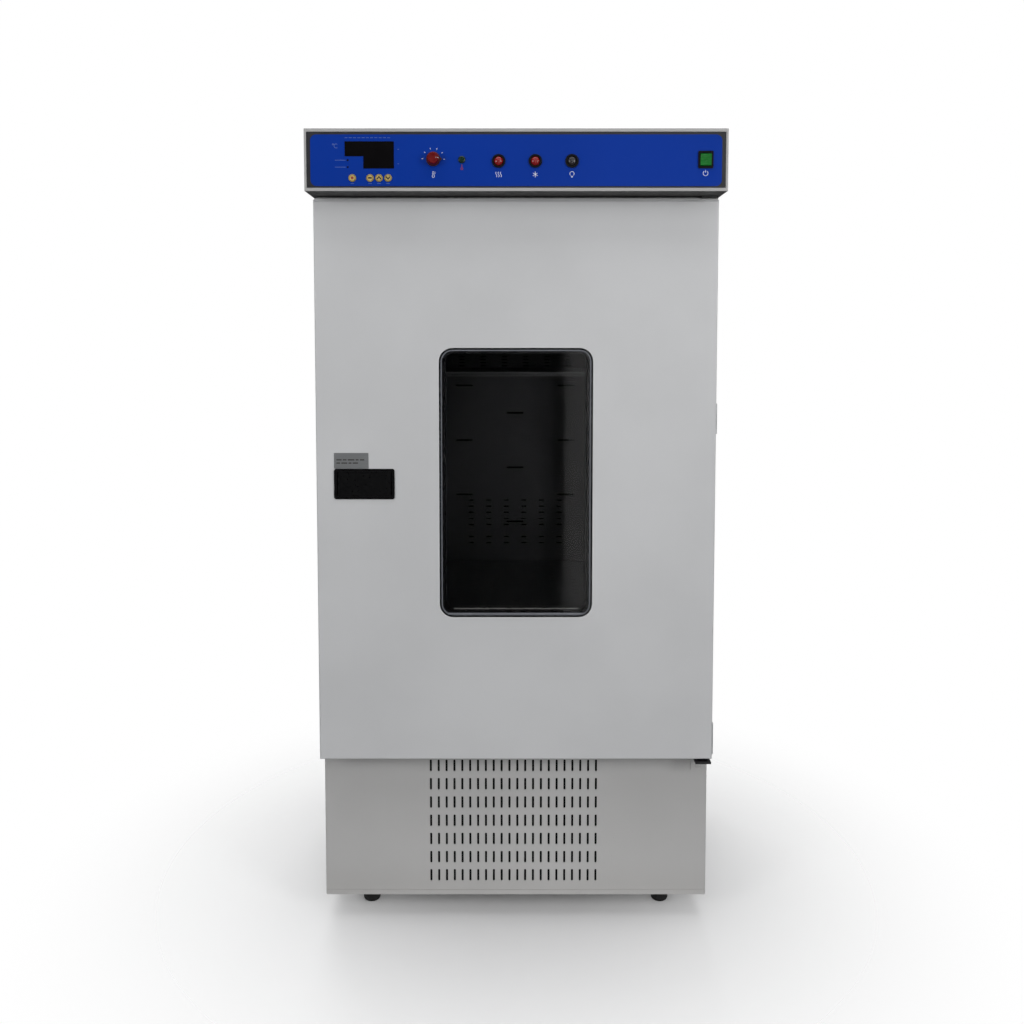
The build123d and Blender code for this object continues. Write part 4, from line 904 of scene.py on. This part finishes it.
class INCUBATOR_OT_screws(bpy.types.Operator):
    """Sets cross-recess screws on the rear panels and the lower hinge bracket."""
    bl_idname = "incubator.screws"
    bl_label = "Screws"

    def execute(self, context):
        head = self.head()
        recipe = repeat_recipe()
        for name, rear, turn, finish, hides in (
            ("rear_screws", True, math.pi, "screw_steel", ("fasteners",)),
            ("hinge_screws", False, 0, "cabinet_paint", ()),
        ):
            made = recipe.run(name, points_mesh(self.seats(rear)), finish, Shape=head, Turn=Euler((0, 0, turn)))
            piece(name, smooth(made, 35), "cabinet", "screw_steel", finish, replaces=hides)
        for tool in (head.modifiers[0].object, head):
            bpy.data.objects.remove(tool)
        return {"FINISHED"}

    def seats(self, rear):
        """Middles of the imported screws' seats, each found from its own cluster of points."""
        cell, reach, clusters, groups, found = 0.012, 0.0095, {}, [], []
        for vertex in frame["nodes"]["fasteners"].data.vertices:
            clusters.setdefault((round(vertex.co.x / cell), round(vertex.co.z / cell)), []).append(vertex.co)
        for points in clusters.values():
            near = [group for group in groups if (group[0] - points[0]).length < reach]
            if near:
                near[0].extend(points)
            else:
                groups.append(list(points))
        for group in groups:
            low, high = (Vector(pick(p[k] for p in group) for k in range(3)) for pick in (min, max))
            if (low.y > 0) == rear:
                found.append(((low.x + high.x) / 2, low.y if rear else high.y, (low.z + high.z) / 2))
        return found

    def head(self):
        """Pan head that looks to the front from its seat at the origin."""
        profile = [(0, -0.0020), (0.0016, -0.00192), (0.0028, -0.00160), (0.0036, -0.0010), (0.0039, -0.0003),
                   (0.0039, 0), (0, 0)]
        body = linked("head", Shape().turned(profile, 0, 0, 24).mesh("head"))
        arm, thin = 0.0019, 0.00042
        quarter = [(arm, thin), (thin, thin), (thin, arm)]
        cross = [(x * u, z * v) for u, v in ((1, 1), (-1, 1), (-1, -1), (1, -1))
                 for x, z in (quarter if u * v > 0 else reversed(quarter))]
        cutter = linked("cross", Shape().prism(cross, -0.003, -0.0009).mesh("cross"))
        cut = body.modifiers.new("recess", "BOOLEAN")
        cut.operation, cut.object, cut.solver = "DIFFERENCE", cutter, "EXACT"
        return body


class INCUBATOR_OT_fittings(bpy.types.Operator):
    """Makes the air filter, the door's top roll and edge strips, and painted highlights along the edges of the shelves
    and the window sill.
    """
    bl_idname = "incubator.fittings"
    bl_label = "Filter, roll and edges"

    def execute(self, context):
        self.air_filter()
        self.top_roll()
        self.bright_edges()
        high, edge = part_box("door_outer_panel")[1], 0.0028
        for name, bottom, top in (("upper_edge_strip", 0.911, 0.965), ("lower_edge_strip", 0.330, 0.388)):
            strip = Shape().bar((high.x, DOOR_Y + 0.008, bottom), (high.x + edge, DOOR_Y + 0.028, top))
            piece(name, strip, "door", "galvanised", bevel=0.0008)
        return {"FINISHED"}

    def air_filter(self):
        """Black foam filter behind the slots of the machine compartment."""
        low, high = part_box("base_front_grille")
        left, right, gap, thick = -0.166, 0.158, 0.0006, 0.0030
        mat = Shape().bar((left, high.y + gap, low.z + 0.012), (right, high.y + gap + thick, high.z - 0.003))
        piece("base_air_filter", mat, "cabinet", "rubber_black", "filter_black", 0.0006)

    def top_roll(self):
        """Rounded roll along the top of the door, running out at both corners."""
        low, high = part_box("door_outer_panel")
        foot, rise = high.z - 0.0004, 0.0063
        curve = [(0.0, 0.0), (0.0003, 0.25), (0.0012, 0.52), (0.0028, 0.76), (0.0050, 0.93), (0.0075, 1.0),
                 (0.0200, 1.0), (0.0200, 0.0)]
        ends = [(0.0, 0.04), (0.0004, 0.28), (0.0014, 0.55), (0.0030, 0.79), (0.0050, 0.94), (0.0075, 1.0)]
        stations = [(low.x + run, size) for run, size in ends] + [(high.x - run, size) for run, size in reversed(ends)]
        sections = [[(x, low.y + back, foot + rise * size * up) for back, up in curve] for x, size in stations]
        piece("door_top_roll", Shape().lofted(sections).mesh("door_top_roll", 50), "door", "door_paint")

    def bright_edges(self):
        """Painted highlights: near-white strips along the shelves' turned lips and along the window's lining behind the
        glass.
        """
        for name in ("upper_shelf", "lower_shelf"):
            low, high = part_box(name)
            inset, proud, wires = 0.004, 0.0008, Shape()
            for bottom, top in ((high.z - 0.0018, high.z), (low.z, low.z + 0.0012)):
                wires.bar((low.x + inset, low.y - proud, bottom), (high.x - inset, low.y, top))
            piece(name + "_edges", wires, name, "stainless", "bright_edge", 0.0003)
        low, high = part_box("window_spacer")
        inset, side, front, bottom = 0.018, 0.0016, low.y + 0.0165, low.z + 0.0041
        sill = Shape().bar((low.x + inset, front, bottom), (high.x - inset, front + side, bottom + side))
        piece("window_sill_edge", sill, "door", "stainless", "bright_edge", 0.0003)


class INCUBATOR_OT_stage(bpy.types.Operator):
    """Sets the camera, the soft lights and the plain floor."""
    bl_idname = "incubator.stage"
    bl_label = "Stage"

    def execute(self, context):
        s = context.scene.incubator_stage
        camera = bpy.data.cameras.new("camera")
        camera.lens, camera.sensor_width, camera.shift_y = s.lens, 36.0, s.shift
        camera.clip_end = 60.0
        eye = linked("camera", camera)
        eye.location = s.eye
        eye.rotation_euler = (math.radians(90) - s.pitch, 0, 0)
        context.scene.camera = eye
        context.scene.view_settings.view_transform = "Standard"
        for name, place, target, size, power in (
            ("front_light", (0.4, -2.5, 2.4), (0, 0, 1.3), (2.6, 0.8), s.front),
            ("left_light", (-2.0, -2.4, 1.5), (0, -0.36, 1.45), (0.9, 0.9), s.side),
            ("right_light", (2.0, -2.4, 1.5), (0, -0.36, 1.45), (0.9, 0.9), s.side * 1.2),
            ("strip_light", (0.42, -3.0, 0.75), (0.1, -0.36, 0.95), (0.38, 1.9), s.strip),
            ("top_light", (0, -0.4, 3.6), (0, 0, 0), (3.4, 3.4), s.top),
            ("back_light", (-0.6, 3.6, 2.3), (0, 0, 0.7), (3.0, 1.8), s.back),
        ):
            lamp = bpy.data.lights.new(name, "AREA")
            lamp.shape, lamp.size, lamp.size_y, lamp.energy = "RECTANGLE", *size, power
            made = linked(name, lamp)
            made.location = place
            made.rotation_euler = (Vector(target) - Vector(place)).to_track_quat("-Z", "Y").to_euler()
        self.room(s.room)
        self.ground(s.floor)
        return {"FINISHED"}

    def room(self, strength):
        """Even light that is weaker from the front, with a white backdrop for the camera."""
        world = bpy.context.scene.world = bpy.data.worlds.new("room")
        world.use_nodes = True
        tree = Tree(world.node_tree)
        seen = tree.node("ShaderNodeTexCoord").outputs["Generated"]
        depth = tree.node("ShaderNodeSeparateXYZ", {"Vector": seen}).outputs["Y"]
        swing = tree.node("ShaderNodeMapRange", {
            "Value": depth, "From Min": -1.0, "From Max": 0.2, "To Min": 0.3 * strength, "To Max": 1.4 * strength})
        even = tree.tree.nodes["Background"]
        tree.feed(even, {"Color": (0.96, 0.98, 1.0, 1), "Strength": swing})
        backdrop = tree.node("ShaderNodeBackground", {"Color": (1, 1, 1, 1)})
        tree.surface("World Output", tree.node("ShaderNodeLightPath"), even, backdrop)

    def ground(self, colour):
        """A pale disc that fades into the backdrop."""
        work = bmesh.new()
        bmesh.ops.create_circle(work, cap_ends=True, segments=96, radius=5.0)
        mesh = bpy.data.meshes.new("floor")
        work.to_mesh(mesh)
        work.free()
        f = Finish("floor", colour, 0.6)
        f.base(f.tone(f.grain(0.5), 0.985, 1.0))
        away = f.node("ShaderNodeVectorMath", {0: f.place}, operation="LENGTH").outputs["Value"]
        f.surface("Material Output", f.ramp(away, 0, 1, 0.15, 1.0), f.shader,
                  f.node("ShaderNodeBsdfTransparent"))
        mesh.materials.append(f.material)
        linked("floor", mesh)


class INCUBATOR_PT_parts(bpy.types.Panel):
    """Lists the steps that dress the incubator."""
    bl_label = "Incubator"
    bl_space_type = "VIEW_3D"
    bl_region_type = "UI"
    bl_category = "Incubator"

    def draw(self, context):
        for step in STEPS:
            self.layout.operator(step.bl_idname)
        for group in (context.scene.incubator_paint, context.scene.incubator_trim, context.scene.incubator_stage):
            for name in group.bl_rna.properties.keys():
                if name not in ("rna_type", "name"):
                    self.layout.prop(group, name)


STEPS = (
    INCUBATOR_OT_finishes,
    INCUBATOR_OT_sheets,
    INCUBATOR_OT_window,
    INCUBATOR_OT_seal,
    INCUBATOR_OT_controls,
    INCUBATOR_OT_print,
    INCUBATOR_OT_plate,
    INCUBATOR_OT_screws,
    INCUBATOR_OT_fittings,
    INCUBATOR_OT_stage,
)
SETTINGS = (
    ("incubator_paint", IncubatorPaint),
    ("incubator_trim", IncubatorTrim),
    ("incubator_stage", IncubatorStage),
)


def register():
    for name, group in SETTINGS:
        bpy.utils.register_class(group)
        setattr(bpy.types.Scene, name, bpy.props.PointerProperty(type=group))
    for step in STEPS:
        bpy.utils.register_class(step)
    bpy.utils.register_class(INCUBATOR_PT_parts)


def unregister():
    bpy.utils.unregister_class(INCUBATOR_PT_parts)
    for step in reversed(STEPS):
        bpy.utils.unregister_class(step)
    for name, group in reversed(SETTINGS):
        delattr(bpy.types.Scene, name)
        bpy.utils.unregister_class(group)


def main():
    register()
    for step in STEPS:
        area, action = step.bl_idname.split(".")
        getattr(getattr(bpy.ops, area), action)()


if __name__ == "__main__":
    main()
